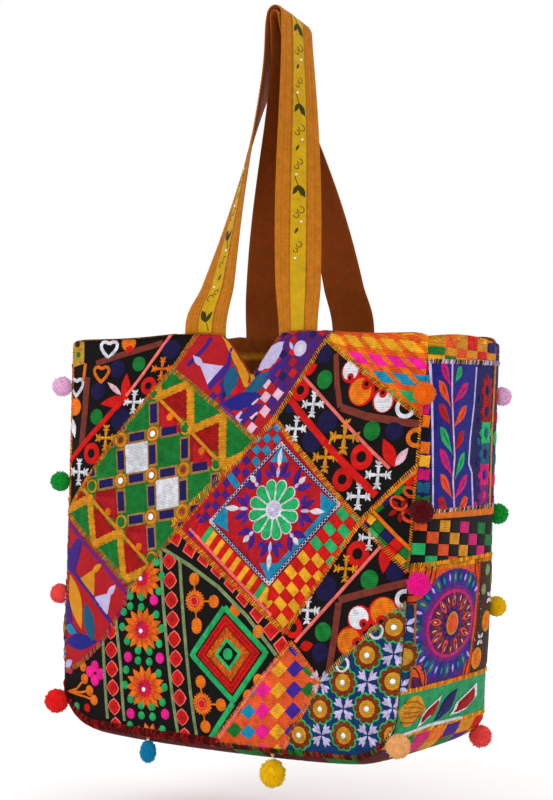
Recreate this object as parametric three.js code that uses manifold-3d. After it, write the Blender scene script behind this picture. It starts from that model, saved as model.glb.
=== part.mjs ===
import * as THREE from "three";
import { mergeVertices } from "three/addons/utils/BufferGeometryUtils.js";
import Module from "manifold-3d";

const wasm = await Module();
wasm.setup();

// Patchwork shoulder bag hanging by its two straps.
// Millimetres, +Z up, front towards -Y. The origin is the underside of the straps' fold.

const DROP = 317;          // hang point down to the rim
const HEIGHT = 386;        // rim down to the base corners
const TOP_WIDTH = 411;
const BASE_WIDTH = 382;
const TOP_DEPTH = 156;
const BASE_DEPTH = 194;
const TOP_X = -8;          // the bag hangs a little askew
const BASE_X = -20;
const MIDDLE_Y = -5;
const FRONT_CORNER = 44;   // rounding of the lower corners
const BACK_CORNER = 22;
const BASE_SAG = 4;
const SOFT_EDGE = 7;       // how far the cloth rolls in at a seam
const PANEL_BULGE = 9;
const GUSSET_BULGE = 5;
const BASE_BULGE = 6;
const GUSSET_RISE = 5;

const WALL = 2.4;          // patchwork, backed
const GAP = 0.3;
const HEM = 5.3;           // rim turned in, full thickness
const HEM_FROM = 0.96;
const LINING_AT = 5.8;     // outside of the patchwork to outside of the lining
const LINING_WALL = 1.2;
const LINING_LOW = 1.5;    // lining stops short of the rim

const STRAP_WIDTH = 46;
const STRAP_WALL = 2.2;
const STRAP_AT = 54;       // strap ends, from the panel's middle
const STRAP_INSET = 4.1;
const TAIL_LOW = 0.935;
const FOLD_TURN = 80;      // degrees, the fold's width from +X
const FOLD_RADIUS = { back: 5.2, front: 9.8 };
const FOLD_CENTRE_Z = -4;
const FOLD_DROOP = 16;     // the fold hangs lower at one edge than at the other
const RIBBON_WIDTH = 16;
const RIBBON_WALL = 1;
const STRAP_LINE = 14;     // grid line between the ribbon and the strap's edge
const SETTLED = 0.16;      // share of a leg over which the strap leaves the rim's line
const BOW_LATE = 2.2;

const LOCK_SPREAD = 0.14;  // pompom locks, in and out of the ball
const BEAD_RADIUS = 1.9;
const THREAD_RADIUS = 0.8;
const STEM_SIDES = 8;
const SUNK = 0.95;         // how far the wool's top comes up to the stem's end

// Rim and mouth: the straps draw the middle of each panel in and let it dip between them.
const MOUTH = {
  front: { sign: -1, corner: FRONT_CORNER, dip: 40, round: 3, fold: 10, foldWidth: 22 },
  back: { sign: 1, corner: BACK_CORNER, dip: 14, round: 9, fold: 4, foldWidth: 24 },
};
const DIP_AT = 3;
const DIP_HALF = 34;
const PINCH = 26;
const PINCH_FROM = 0.4;
const STRAP_LIFT = 5;
const LIFT_AT = STRAP_AT + 14;
const LIFT_SPREAD = 50;
const CORNER_FROM = 0.955; // share of the width from which the rim's corner rounds off
const LOW_UNTIL = 0.35;    // shares of the height that the base and the rim shape
const TOP_FROM = 0.7;
const SHARE_EASE = 1.3;
const FOLD_FROM = 0.72;

// Strap legs: their turn in degrees at the rim, on the way up and at the fold, how late the last turn
// comes, and how far they bow out.
const LEGS = {
  front: {
    left: { turn: 16, hold: -57, top: -100, late: 9, bow: 3 },
    right: { turn: 6, hold: 6, top: 80, late: 1.25, bow: 2 },
  },
  back: {
    left: { turn: 4, hold: 4, top: 80, late: 1.25, bow: -9 },
    right: { turn: 4, hold: 4, top: -100, late: 2.1, bow: -6 },
  },
};
const HOLD_SPEED = 2.6;

// Pompoms: seam place (s across, t up) and ball size. Those on a seam are pushed out along X and Y, and
// two at the corners down along Z; those under the base hang from a bead stem and are drawn out tall.
const POMPOMS = [
  { name: "front_left_1", panel: "front", s: -1, t: 0.887, radius: 10, x: -0.8, y: -0.5, shade: "lightPink" },
  { name: "front_left_2", panel: "front", s: -1, t: 0.632, radius: 10, x: -1, y: -0.3, shade: "green" },
  { name: "front_left_3", panel: "front", s: -1, t: 0.333, radius: 10, x: -0.7, y: 0.1, shade: "coral" },
  { name: "front_left_4", panel: "front", s: -0.97, t: 0, radius: 12, x: -0.9, y: -0.4, shade: "red" },
  { name: "front_base_1", panel: "front", s: -0.438, t: 0, radius: 8, tall: 1.4, stem: 4, shade: "blue" },
  { name: "front_base_2", panel: "front", s: 0.325, t: 0, radius: 12, tall: 1.1, stem: 7, shade: "yellow" },
  { name: "front_right_1", panel: "front", s: 1, t: 0.867, radius: 10, x: 0.5, y: -0.9, shade: "orange" },
  { name: "front_right_2", panel: "front", s: 1, t: 0.588, radius: 11, x: 1, y: -0.5, shade: "maroon" },
  { name: "front_right_3", panel: "front", s: 1, t: 0.419, radius: 10.5, x: 1, y: -0.05, shade: "hotPink" },
  { name: "front_right_4", panel: "front", s: 0.97, t: 0, radius: 11, x: 0.9, y: -0.1, z: -0.6, shade: "peach" },
  { name: "back_right_1", panel: "back", s: 1, t: 0.867, radius: 9, x: 0.25, y: 1, shade: "lightPink" },
  { name: "back_right_2", panel: "back", s: 1, t: 0.559, radius: 10, x: 0.25, y: 1, shade: "green" },
  { name: "back_right_3", panel: "back", s: 1, t: 0.321, radius: 10, x: 0.5, y: 0.9, shade: "yellow" },
  { name: "back_right_4", panel: "back", s: 0.97, t: 0, radius: 11, x: 0.2, y: 0.1, z: -0.9, shade: "coral" },
  { name: "back_base_1", panel: "back", s: 0.35, t: 0, radius: 10, tall: 1.1, stem: 5, shade: "blue" },
  { name: "back_base_2", panel: "back", s: -0.38, t: 0, radius: 11, tall: 1.1, stem: 5, shade: "orange" },
  { name: "back_left_1", panel: "back", s: -1, t: 0.87, radius: 10, x: -0.7, y: 0.7, shade: "hotPink" },
  { name: "back_left_2", panel: "back", s: -1, t: 0.6, radius: 10, x: -0.7, y: 0.7, shade: "yellow" },
  { name: "back_left_3", panel: "back", s: -1, t: 0.34, radius: 10, x: -0.7, y: 0.7, shade: "green" },
  { name: "back_left_4", panel: "back", s: -0.97, t: 0, radius: 11, x: -0.7, y: 0.6, shade: "red" },
];

// Grid lines. The strap slots and the dip fall on lines of their own.
const SLOT_HALF = STRAP_WIDTH / 2 + 2;
const SLOT = [STRAP_AT - SLOT_HALF, STRAP_AT + SLOT_HALF].map((x) => (2 * x) / TOP_WIDTH);
const SLOT_EDGES = [-SLOT_HALF, -STRAP_LINE, -RIBBON_WIDTH / 2, RIBBON_WIDTH / 2, STRAP_LINE, SLOT_HALF];
const SLOT_LINES = SLOT_EDGES.map((x) => (2 * (STRAP_AT + x)) / TOP_WIDTH);
const ACROSS_HALF = [...SLOT_LINES, SLOT[1] + 0.05, 0.58, 0.76, 0.86, 0.93, 0.97, 1];
const ACROSS = [
  ...ACROSS_HALF.map((s) => -s).reverse(),
  -0.07, (2 * DIP_AT) / TOP_WIDTH, 0.085,
  ...ACROSS_HALF,
];
const UP = [0, 0.03, 0.08, 0.16, 0.28, 0.42, 0.56, 0.69, 0.8, 0.89, TAIL_LOW, HEM_FROM, 1];
const DEEP = [-1, -0.9, -0.62, -0.2, 0.2, 0.62, 0.9, 1];
const LINING_UP = [0, 0.07, 0.24, 0.5, 0.89, HEM_FROM, 1];
const LINING_RINGS = [0.82, 0.45];

const clamp = (x) => Math.min(1, Math.max(0, x));
const mix = (a, b, k) => a + (b - a) * k;
const radians = (angle) => (angle * Math.PI) / 180;
const rim = (k) => 1 - Math.abs(k) ** 10;

function cornerTurn(s, radius) {
  const half = BASE_WIDTH / 2;
  return clamp((Math.abs(s) * half - half + radius) / radius);
}

function rimShift(s, mouth) {
  const x = (s * TOP_WIDTH) / 2;
  const lift = STRAP_LIFT * Math.exp(-(((Math.abs(x) - LIFT_AT) / LIFT_SPREAD) ** 2));
  const round = mouth.round * clamp((Math.abs(s) - CORNER_FROM) / (1 - CORNER_FROM)) ** 2;
  const dip = mouth.dip * (1 - clamp(Math.abs(x - DIP_AT) / DIP_HALF)) ** 1.1;
  return lift - round - dip;
}

function levelZ(s, t, mouth) {
  const over = cornerTurn(s, mouth.corner);
  const rise = mouth.corner * (1 - Math.sqrt(Math.max(0, 1 - over * over)));
  const low = rise - BASE_SAG * (1 - s * s);
  const lowShare = clamp(1 - t / LOW_UNTIL) ** SHARE_EASE;
  const topShare = clamp((t - TOP_FROM) / (1 - TOP_FROM)) ** SHARE_EASE;
  return -DROP - HEIGHT * (1 - t) + low * lowShare + rimShift(s, mouth) * topShare;
}

const bulgeAt = (h) => Math.sin(Math.PI * clamp(0.08 + 0.84 * (1 - h)));

// Outside of the front or back panel: s from -1 to 1 across, t from 0 to 1 up.
function panelPoint(side, s, t) {
  const mouth = MOUTH[side];
  const z = levelZ(s, t, mouth);
  const h = Math.min(1.05, Math.max(0, (z + DROP + HEIGHT) / HEIGHT));
  const x = mix(BASE_X, TOP_X, h) + (s * mix(BASE_WIDTH, TOP_WIDTH, h)) / 2;
  const fromDip = (s * TOP_WIDTH) / 2 - DIP_AT;
  let out = mix(BASE_DEPTH, TOP_DEPTH, h) / 2 - SOFT_EDGE * (1 - rim(s) * rim(1 - t));
  out += PANEL_BULGE * (1 - s * s) * bulgeAt(h);
  out -= PINCH * (1 - s * s) ** 1.5 * clamp((h - PINCH_FROM) / (1 - PINCH_FROM)) ** 1.6;
  const foldShare = clamp((t - FOLD_FROM) / (1 - FOLD_FROM)) ** 1.5;
  out -= mouth.fold * Math.exp(-((fromDip / mouth.foldWidth) ** 2)) * foldShare;
  return new THREE.Vector3(x, MIDDLE_Y + mouth.sign * out, z);
}

// Outside of an end gusset: q from -1 at the front seam to 1 at the back seam.
function gussetPoint(end, q, t, clear = 0) {
  const front = panelPoint("front", end, t);
  const back = panelPoint("back", end, t);
  front.y += clear;
  back.y -= clear;
  const p = front.lerp(back, (q + 1) / 2);
  const h = clamp((p.z + DROP + HEIGHT) / HEIGHT);
  p.x += end * (SOFT_EDGE * rim(q) * rim(1 - t) + GUSSET_BULGE * (1 - q * q) * bulgeAt(h));
  p.z += GUSSET_RISE * (1 - q * q) * clamp((t - 0.8) / 0.2);
  return p;
}

// Outside of the base, which turns up at both ends to meet the gussets.
function basePoint(s, q, clear = 0) {
  const front = panelPoint("front", s, 0);
  const back = panelPoint("back", s, 0);
  front.y += clear;
  back.y -= clear;
  const p = front.lerp(back, (q + 1) / 2);
  p.z -= (SOFT_EDGE * rim(q) + BASE_BULGE * (1 - q * q)) * (1 - Math.abs(s) ** 6);
  return p;
}

function baseInward(s, q) {
  const radius = mix(FRONT_CORNER, BACK_CORNER, (q + 1) / 2);
  const turn = Math.asin(cornerTurn(s, radius));
  return new THREE.Vector3(-Math.sign(s) * Math.sin(turn), 0, Math.cos(turn));
}

// The rim's turned hem leaves room for the strap ends and for the seams.
function panelWall(s, t) {
  const seam = clamp((0.97 - Math.abs(s)) / 0.04);
  const slot = Math.abs(s) >= SLOT[0] - 0.001 && Math.abs(s) <= SLOT[1] + 0.001;
  const hem = t >= HEM_FROM && !slot ? seam : 0;
  return mix(WALL, HEM, hem);
}

function gussetWall(q, t) {
  const hem = t >= HEM_FROM ? clamp((1 - Math.abs(q)) / 0.1) : 0;
  return mix(WALL, HEM, hem);
}

function solidFrom(points, faces) {
  const geometry = new THREE.BufferGeometry();
  const places = points.flatMap((p) => [p.x, p.y, p.z]);
  geometry.setAttribute("position", new THREE.Float32BufferAttribute(places, 3));
  let volume = 0;
  for (const [a, b, c] of faces) {
    volume += points[a].dot(new THREE.Vector3().crossVectors(points[b], points[c]));
  }
  geometry.setIndex(faces.flatMap(([a, b, c]) => (volume > 0 ? [a, b, c] : [a, c, b])));
  geometry.computeVertexNormals();
  return geometry;
}

// A closed sheet between two point grids of the same size.
function sheetBetween(us, vs, outside, inside) {
  const points = [];
  const faces = [];
  const rows = vs.length;
  for (const place of [outside, inside]) {
    for (const u of us) {
      for (const v of vs) {
        points.push(place(u, v));
      }
    }
  }
  const half = us.length * rows;
  const at = (i, j) => i * rows + j;
  const quad = (a, b, c, d) => faces.push([a, b, c], [a, c, d]);
  for (let i = 0; i + 1 < us.length; i += 1) {
    for (let j = 0; j + 1 < rows; j += 1) {
      quad(at(i, j), at(i + 1, j), at(i + 1, j + 1), at(i, j + 1));
      quad(half + at(i, j), half + at(i, j + 1), half + at(i + 1, j + 1), half + at(i + 1, j));
    }
  }
  const edge = [];
  for (let i = 0; i + 1 < us.length; i += 1) edge.push(at(i, 0));
  for (let j = 0; j + 1 < rows; j += 1) edge.push(at(us.length - 1, j));
  for (let i = us.length - 1; i > 0; i -= 1) edge.push(at(i, rows - 1));
  for (let j = rows - 1; j > 0; j -= 1) edge.push(at(0, j));
  edge.forEach((a, k) => {
    const b = edge[(k + 1) % edge.length];
    quad(b, a, half + a, half + b);
  });
  return solidFrom(points, faces);
}

function panelSolid(side) {
  const sign = MOUTH[side].sign;
  const outside = (s, t) => panelPoint(side, s, t);
  const inside = (s, t) => outside(s, t).add(new THREE.Vector3(0, -sign * panelWall(s, t), 0));
  return sheetBetween(ACROSS, UP, outside, inside);
}

function gussetSolid(end) {
  const clear = WALL + GAP;
  const up = UP.map((t) => mix(0.002, 1, t));
  const outside = (q, t) => gussetPoint(end, q, t, clear);
  const inside = (q, t) => outside(q, t).add(new THREE.Vector3(-end * gussetWall(q, t), 0, 0));
  return sheetBetween(DEEP, up, outside, inside);
}

function baseSolid() {
  const clear = WALL + GAP;
  const outside = (s, q) => basePoint(s, q, clear);
  const inside = (s, q) => outside(s, q).addScaledVector(baseInward(s, q), WALL);
  return sheetBetween(ACROSS, DEEP, outside, inside);
}

// The lining is a cup inside the patchwork, open at the rim.
function liningPoint(s, q, t, inset) {
  const end = Math.abs(s) === 1 ? s : 0;
  const flank = Math.abs(q) === 1 ? q : 0;
  const p = flank ? panelPoint(q < 0 ? "front" : "back", s, t) : gussetPoint(s, q, t, WALL + GAP);
  p.x -= end * inset;
  p.y -= flank * inset;
  if (t === 0 && !end) p.addScaledVector(baseInward(s, q), inset);
  p.z -= LINING_LOW * clamp((t - 0.9) / 0.1);
  return p;
}

function liningSolid() {
  const ring = [
    ...ACROSS.map((s) => [s, -1]),
    ...DEEP.slice(1).map((q) => [1, q]),
    ...ACROSS.slice(0, -1).reverse().map((s) => [s, 1]),
    ...DEEP.slice(1, -1).reverse().map((q) => [-1, q]),
  ];
  const points = [];
  const faces = [];
  const cups = [LINING_AT, LINING_AT + LINING_WALL].map((inset) => {
    const start = points.length;
    for (const t of [...LINING_UP].reverse()) {
      ring.forEach(([s, q]) => points.push(liningPoint(s, q, t, inset)));
    }
    for (const k of LINING_RINGS) {
      ring.forEach(([s, q]) => {
        points.push(basePoint(s * k, q * k).addScaledVector(baseInward(s * k, q * k), inset));
      });
    }
    points.push(basePoint(0, 0).addScaledVector(baseInward(0, 0), inset));
    return start;
  });
  const count = ring.length;
  const rows = LINING_UP.length + LINING_RINGS.length;
  cups.forEach((start, inner) => {
    const face = (a, b, c) => faces.push(inner ? [a, c, b] : [a, b, c]);
    for (let row = 0; row < rows; row += 1) {
      for (let i = 0; i < count; i += 1) {
        const a = start + row * count + i;
        const b = start + row * count + ((i + 1) % count);
        if (row + 1 === rows) {
          face(a, start + rows * count, b);
        } else {
          face(a, a + count, b + count);
          face(a, b + count, b);
        }
      }
    }
  });
  for (let i = 0; i < count; i += 1) {
    const j = (i + 1) % count;
    const [a, b, c, d] = [cups[0] + i, cups[0] + j, cups[1] + j, cups[1] + i];
    faces.push([a, b, c], [a, c, d]);
  }
  return solidFrom(points, faces);
}

// Strap middle surface. Along it: tail 0-1, left leg 1-2, fold 2-3, right leg 3-4, tail 4-5.
const FOLD_WIDE = new THREE.Vector3(Math.cos(radians(FOLD_TURN)), Math.sin(radians(FOLD_TURN)), 0);
const FOLD_OVER = new THREE.Vector3(FOLD_WIDE.y, -FOLD_WIDE.x, 0);

function tailPoint(side, hand, t, wide, lift) {
  const s = (2 * (hand * STRAP_AT + wide)) / TOP_WIDTH;
  const p = panelPoint(side, s, t);
  p.y -= MOUTH[side].sign * STRAP_INSET;
  p.z += lift;
  return p;
}

function legPoint(side, hand, k, wide) {
  const leg = LEGS[side][hand < 0 ? "left" : "right"];
  const foot = tailPoint(side, hand, 1, 0, 0);
  const head = FOLD_OVER.clone().multiplyScalar(hand * FOLD_RADIUS[side]);
  head.z = FOLD_CENTRE_Z;
  const held = mix(leg.turn, leg.hold, 1 - (1 - k) ** HOLD_SPEED);
  const eased = 1 - (1 - k ** leg.late) ** 1.5;
  const turn = radians(mix(held, leg.top, eased));
  const straight = foot.clone().lerp(head, k);
  straight.addScaledVector(FOLD_OVER, hand * leg.bow * Math.sin(Math.PI * k ** BOW_LATE));
  straight.add(new THREE.Vector3(Math.cos(turn), Math.sin(turn), 0).multiplyScalar(wide));
  const settle = clamp(k / SETTLED);
  const rising = tailPoint(side, hand, 1, wide, k * (head.z - foot.z));
  return rising.lerp(straight, settle * settle * (3 - 2 * settle));
}

// The width runs the same way round the whole strap, so it is turned over on one leg.
function levelStrapPoint(side, along, wide) {
  const flip = side === "front" ? 1 : -1;
  if (along <= 1) return tailPoint(side, -1, mix(TAIL_LOW, 1, along), flip * wide, 0);
  if (along < 2) return legPoint(side, -1, along - 1, flip * wide);
  if (along <= 3) {
    const turn = (along - 2) * Math.PI;
    const p = FOLD_OVER.clone().multiplyScalar(-Math.cos(turn) * FOLD_RADIUS[side]);
    p.z = FOLD_CENTRE_Z + Math.sin(turn) * FOLD_RADIUS[side];
    return p.addScaledVector(FOLD_WIDE, -wide);
  }
  if (along < 4) return legPoint(side, 1, 4 - along, -flip * wide);
  return tailPoint(side, 1, mix(1, TAIL_LOW, along - 4), -flip * wide, 0);
}

function strapPoint(side, along, wide) {
  const p = levelStrapPoint(side, along, wide);
  const risen = clamp(Math.min(along, 5 - along) - 1);
  p.z += (FOLD_DROOP * risen * wide) / STRAP_WIDTH;
  return p;
}

function strapFacing(side, along, wide) {
  const step = 0.004;
  const a0 = Math.max(0, along - step);
  const a1 = Math.min(5, along + step);
  const run = strapPoint(side, a1, wide).sub(strapPoint(side, a0, wide));
  const cross = strapPoint(side, along, wide + 1).sub(strapPoint(side, along, wide - 1));
  return new THREE.Vector3().crossVectors(cross, run).normalize();
}

const steps = (from, to, count) => Array.from({ length: count }, (_, i) => mix(from, to, i / count));
const TAIL_STEPS = 2;
const LEG_STEPS = 14;
const FOLD_STEPS = 8;
const ALONG = [
  ...steps(0, 1, TAIL_STEPS), ...steps(1, 2, LEG_STEPS), ...steps(2, 3, FOLD_STEPS),
  ...steps(3, 4, LEG_STEPS), ...steps(4, 5, TAIL_STEPS), 5,
];
const STRAP_HALF = [RIBBON_WIDTH / 2, STRAP_LINE, STRAP_WIDTH / 2];
const STRAP_ACROSS = [...STRAP_HALF.map((w) => -w).reverse(), ...STRAP_HALF];

function bandSolid(side, along, across, low, high) {
  const raised = (lift) => (a, w) => strapPoint(side, a, w).addScaledVector(strapFacing(side, a, w), lift);
  return sheetBetween(along, across, raised(high), raised(low));
}

const strapSolid = (side) => bandSolid(side, ALONG, STRAP_ACROSS, -STRAP_WALL / 2, STRAP_WALL / 2);

function ribbonSolid(side) {
  const along = ALONG.filter((a) => a > 1 && a < 4);
  const low = STRAP_WALL / 2 + GAP;
  return bandSolid(side, along, [-RIBBON_WIDTH / 2, RIBBON_WIDTH / 2], low, low + RIBBON_WALL);
}

function joined(geometries) {
  const solids = geometries.map((geometry) => {
    const bare = new THREE.BufferGeometry();
    bare.setAttribute("position", geometry.getAttribute("position"));
    if (geometry.index) bare.setIndex(geometry.index);
    const merged = mergeVertices(bare, 1e-4);
    const mesh = new wasm.Mesh({
      numProp: 3,
      vertProperties: new Float32Array(merged.attributes.position.array),
      triVerts: new Uint32Array(merged.index.array),
    });
    return new wasm.Manifold(mesh);
  });
  const whole = solids.reduce((sum, solid) => sum.add(solid)).getMesh();
  const result = new THREE.BufferGeometry();
  result.setAttribute("position", new THREE.Float32BufferAttribute(whole.vertProperties, 3));
  result.setIndex([...whole.triVerts]);
  result.computeVertexNormals();
  return result;
}

// A ball of short locks; the ones under the base hang from a stem of two beads.
function pompomSolid(row) {
  const ball = new THREE.IcosahedronGeometry(1, 1);
  const place = ball.getAttribute("position");
  const core = new THREE.IcosahedronGeometry(1, 0).getAttribute("position");
  for (let i = 0; i < place.count; i += 1) {
    const p = new THREE.Vector3().fromBufferAttribute(place, i);
    let nearest = 2;
    for (let j = 0; j < core.count; j += 1) {
      nearest = Math.min(nearest, p.distanceTo(new THREE.Vector3().fromBufferAttribute(core, j)));
    }
    const size = nearest < 0.05 ? 1 : 1 - LOCK_SPREAD;
    p.multiplyScalar(row.radius * size);
    place.setXYZ(i, p.x, p.y, row.stem ? p.z * row.tall : p.z);
  }
  const foot = panelPoint(row.panel, row.s, row.t);
  if (!row.stem) {
    const push = new THREE.Vector3(row.x, row.y, row.z ?? 0).normalize();
    const lock = new THREE.Vector3().fromBufferAttribute(core, 0);
    ball.applyQuaternion(new THREE.Quaternion().setFromUnitVectors(lock, push.clone().negate()));
    foot.addScaledVector(push, row.radius + GAP);
    ball.translate(foot.x, foot.y, foot.z);
    return joined([ball]);
  }
  foot.y -= (MOUTH[row.panel].sign * WALL) / 2;
  foot.z -= GAP;
  const tallRadius = row.radius * row.tall;
  const bead = row.stem / 2;
  const reach = row.stem + tallRadius / 2;
  const profile = [
    [0, 0], [THREAD_RADIUS, 0], [BEAD_RADIUS, bead / 2], [THREAD_RADIUS, bead],
    [BEAD_RADIUS, bead * 1.5], [THREAD_RADIUS, row.stem], [THREAD_RADIUS, reach], [0, reach],
  ].reverse();
  const stem = new THREE.LatheGeometry(profile.map(([r, drop]) => new THREE.Vector2(r, -drop)), STEM_SIDES);
  stem.rotateX(Math.PI / 2);
  stem.translate(foot.x, foot.y, foot.z);
  ball.translate(foot.x, foot.y, foot.z - row.stem - tallRadius * SUNK);
  return joined([ball, stem]);
}

const SHADES = {
  cloth: 0x9c2b26, gusset: 0x3a3a9a, base: 0x7a4a8c, lining: 0xb5651d,
  strap: 0xd9801f, ribbon: 0xd8b020,
  lightPink: 0xeda8c4, green: 0x0d6b1f, coral: 0xf23d38, red: 0xeb1a17, blue: 0x0f6b9e,
  yellow: 0xf5ad08, orange: 0xf76b12, maroon: 0x470a0d, hotPink: 0xf00873, peach: 0xf7a680,
};
const CLOTH_ROUGHNESS = 0.9;

const bag = new THREE.Group();
bag.name = "patchwork_bag";

function addPiece(name, geometry, shade) {
  const finish = { color: SHADES[shade], roughness: CLOTH_ROUGHNESS, metalness: 0 };
  const mesh = new THREE.Mesh(geometry, new THREE.MeshStandardMaterial(finish));
  mesh.name = name;
  bag.add(mesh);
}

addPiece("front_panel", panelSolid("front"), "cloth");
addPiece("back_panel", panelSolid("back"), "cloth");
addPiece("gusset_left", gussetSolid(-1), "gusset");
addPiece("gusset_right", gussetSolid(1), "gusset");
addPiece("base", baseSolid(), "base");
addPiece("lining", liningSolid(), "lining");
for (const side of ["front", "back"]) {
  addPiece(`strap_${side}`, strapSolid(side), "strap");
  addPiece(`strap_${side}_ribbon`, ribbonSolid(side), "ribbon");
}
for (const row of POMPOMS) {
  addPiece(`pompom_${row.name}`, pompomSolid(row), row.shade);
}

export default bag;
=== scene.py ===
import math
import random

import bpy
import numpy as np
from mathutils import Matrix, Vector
from mathutils.geometry import delaunay_2d_cdt


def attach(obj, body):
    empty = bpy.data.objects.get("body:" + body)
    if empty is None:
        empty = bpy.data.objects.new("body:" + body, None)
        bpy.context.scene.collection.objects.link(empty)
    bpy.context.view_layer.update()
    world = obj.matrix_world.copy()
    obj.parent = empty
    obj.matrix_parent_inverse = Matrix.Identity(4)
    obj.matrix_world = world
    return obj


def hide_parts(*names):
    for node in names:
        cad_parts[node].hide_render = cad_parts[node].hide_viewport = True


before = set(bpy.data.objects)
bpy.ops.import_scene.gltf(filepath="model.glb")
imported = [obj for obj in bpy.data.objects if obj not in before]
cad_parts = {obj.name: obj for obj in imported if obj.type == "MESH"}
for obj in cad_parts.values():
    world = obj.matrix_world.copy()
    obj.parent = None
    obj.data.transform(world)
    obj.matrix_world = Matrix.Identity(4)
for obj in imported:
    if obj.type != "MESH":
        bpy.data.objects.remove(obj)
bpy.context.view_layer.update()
rng = random.Random(7)

# Bag form, in millimetres, from the same sizes as the part.
MM = 0.001
DROP = 317
HEIGHT = 386
TOP_WIDTH = 411
BASE_WIDTH = 382
TOP_DEPTH = 156
BASE_DEPTH = 194
TOP_X = -8
BASE_X = -20
MIDDLE_Y = -5
FRONT_CORNER = 44
BACK_CORNER = 22
BASE_SAG = 4
SOFT_EDGE = 7
PANEL_BULGE = 9
GUSSET_BULGE = 5
BASE_BULGE = 6
GUSSET_RISE = 5
LINING_AT = 5.8
STRAP_WIDTH = 46
STRAP_AT = 54
STRAP_INSET = 4.1
STRAP_HALF_WALL = 1.1
TAIL_LOW = 0.935
FOLD_TURN = math.radians(80)
FOLD_RADIUS = {"back": 5.2, "front": 9.8}
FOLD_CENTRE_Z = -4
FOLD_DROOP = 16
RIBBON_HALF = 8
DIP_AT = 3
DIP_HALF = 34
PINCH = 26
PINCH_FROM = 0.4
STRAP_LIFT = 5
LIFT_AT = 68           # where the straps draw the rim up, from the middle
LIFT_SPREAD = 50
CORNER_FROM = 0.955    # shares of the width or the height where a form sets in
LOW_UNTIL = 0.35
TOP_FROM = 0.7
FOLD_FROM = 0.72
GUSSET_RISE_FROM = 0.8
BULGE_FROM = 0.08
SHARE_EASE = 1.3       # how softly it sets in
DIP_EASE = 1.1
PINCH_EASE = 1.6
PINCH_ROUND = 1.5
FOLD_EASE = 1.5
STRAP_SLOT = (0.14, 0.38)
HEM_THIN = 1.2
HEM_MORE = 1.4
HEM_UNTIL = 0.97
HEM_SPREAD = 0.04
MOUTHS = {
    "front": dict(sign=-1, corner=FRONT_CORNER, dip=40, round=3, fold=10, fold_width=22),
    "back": dict(sign=1, corner=BACK_CORNER, dip=14, round=9, fold=4, fold_width=24),
}
# Strap legs: turn at the rim, turn at the fold (degrees) and bow, left leg then right leg.
LEGS = {
    "front": dict(turn=(16, 6), hold=(-57, 6), top=(-100, 80), late=(9, 1.25), bow=(3, 2)),
    "back": dict(turn=(4, 4), hold=(4, 4), top=(80, -100), late=(1.25, 2.1), bow=(-9, -6)),
}
HOLD_SPEED = 2.6
TURN_EASE = 1.5
BOW_LATE = 2.2
SETTLED = 0.16         # share of a leg over which it leaves the rim
STRAP_KNOTS = 1001
PANEL_REACH = 205      # half a panel, in the layout's millimetres
GUSSET_REACH = 82
RIM_OVER = 11          # how far the backing turns in over the rim
PATCH_OVER = 1.2
SEAM_CLEAR = 0.4
LAYER = 0.3            # one patch laid over another
TINY = 1e-9


def clamp(x):
    return np.clip(x, 0.0, 1.0)


def mix(a, b, k):
    return a + (b - a) * k


def rim(k):
    return 1 - np.abs(k) ** 10


def corner_turn(s, radius):
    half = BASE_WIDTH / 2
    return clamp((np.abs(s) * half - half + radius) / radius)


def share_after(x, start):
    """0 up to start, then rising to 1 where x is 1."""
    return clamp((x - start) / (1 - start))


def rim_shift(s, mouth):
    x = s * TOP_WIDTH / 2
    lift = STRAP_LIFT * np.exp(-(((np.abs(x) - LIFT_AT) / LIFT_SPREAD) ** 2))
    turned = mouth["round"] * share_after(np.abs(s), CORNER_FROM) ** 2
    dip = mouth["dip"] * (1 - clamp(np.abs(x - DIP_AT) / DIP_HALF)) ** DIP_EASE
    return lift - turned - dip


def level_z(s, t, mouth):
    over = corner_turn(s, mouth["corner"])
    rise = mouth["corner"] * (1 - np.sqrt(np.maximum(0, 1 - over * over)))
    low = rise - BASE_SAG * (1 - s * s)
    low_share = clamp(1 - t / LOW_UNTIL) ** SHARE_EASE
    top_share = share_after(t, TOP_FROM) ** SHARE_EASE
    return -DROP - HEIGHT * (1 - t) + low * low_share + rim_shift(s, mouth) * top_share


def bulge_at(h):
    return np.sin(np.pi * clamp(BULGE_FROM + (1 - 2 * BULGE_FROM) * (1 - h)))


def panel_point(side, s, t):
    mouth = MOUTHS[side]
    z = level_z(s, t, mouth)
    h = np.clip((z + DROP + HEIGHT) / HEIGHT, 0, 1.05)
    x = mix(BASE_X, TOP_X, h) + s * mix(BASE_WIDTH, TOP_WIDTH, h) / 2
    from_dip = s * TOP_WIDTH / 2 - DIP_AT
    out = mix(BASE_DEPTH, TOP_DEPTH, h) / 2 - SOFT_EDGE * (1 - rim(s) * rim(1 - t))
    out = out + PANEL_BULGE * (1 - s * s) * bulge_at(h)
    out = out - PINCH * (1 - s * s) ** PINCH_ROUND * share_after(h, PINCH_FROM) ** PINCH_EASE
    fold = mouth["fold"] * np.exp(-((from_dip / mouth["fold_width"]) ** 2))
    out = out - fold * share_after(t, FOLD_FROM) ** FOLD_EASE
    return np.stack([x, MIDDLE_Y + mouth["sign"] * out, z], -1)


def between_seams(s, t, q, clear):
    front = panel_point("front", s, t)
    back = panel_point("back", s, t)
    front[..., 1] += clear
    back[..., 1] -= clear
    return mix(front, back, ((q + 1) / 2)[..., None])


def gusset_point(end, q, t):
    p = between_seams(np.full_like(t, end), t, q, SEAM_CLEAR)
    h = clamp((p[..., 2] + DROP + HEIGHT) / HEIGHT)
    p[..., 0] += end * (SOFT_EDGE * rim(q) * rim(1 - t) + GUSSET_BULGE * (1 - q * q) * bulge_at(h))
    p[..., 2] += GUSSET_RISE * (1 - q * q) * share_after(t, GUSSET_RISE_FROM)
    return p


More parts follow.
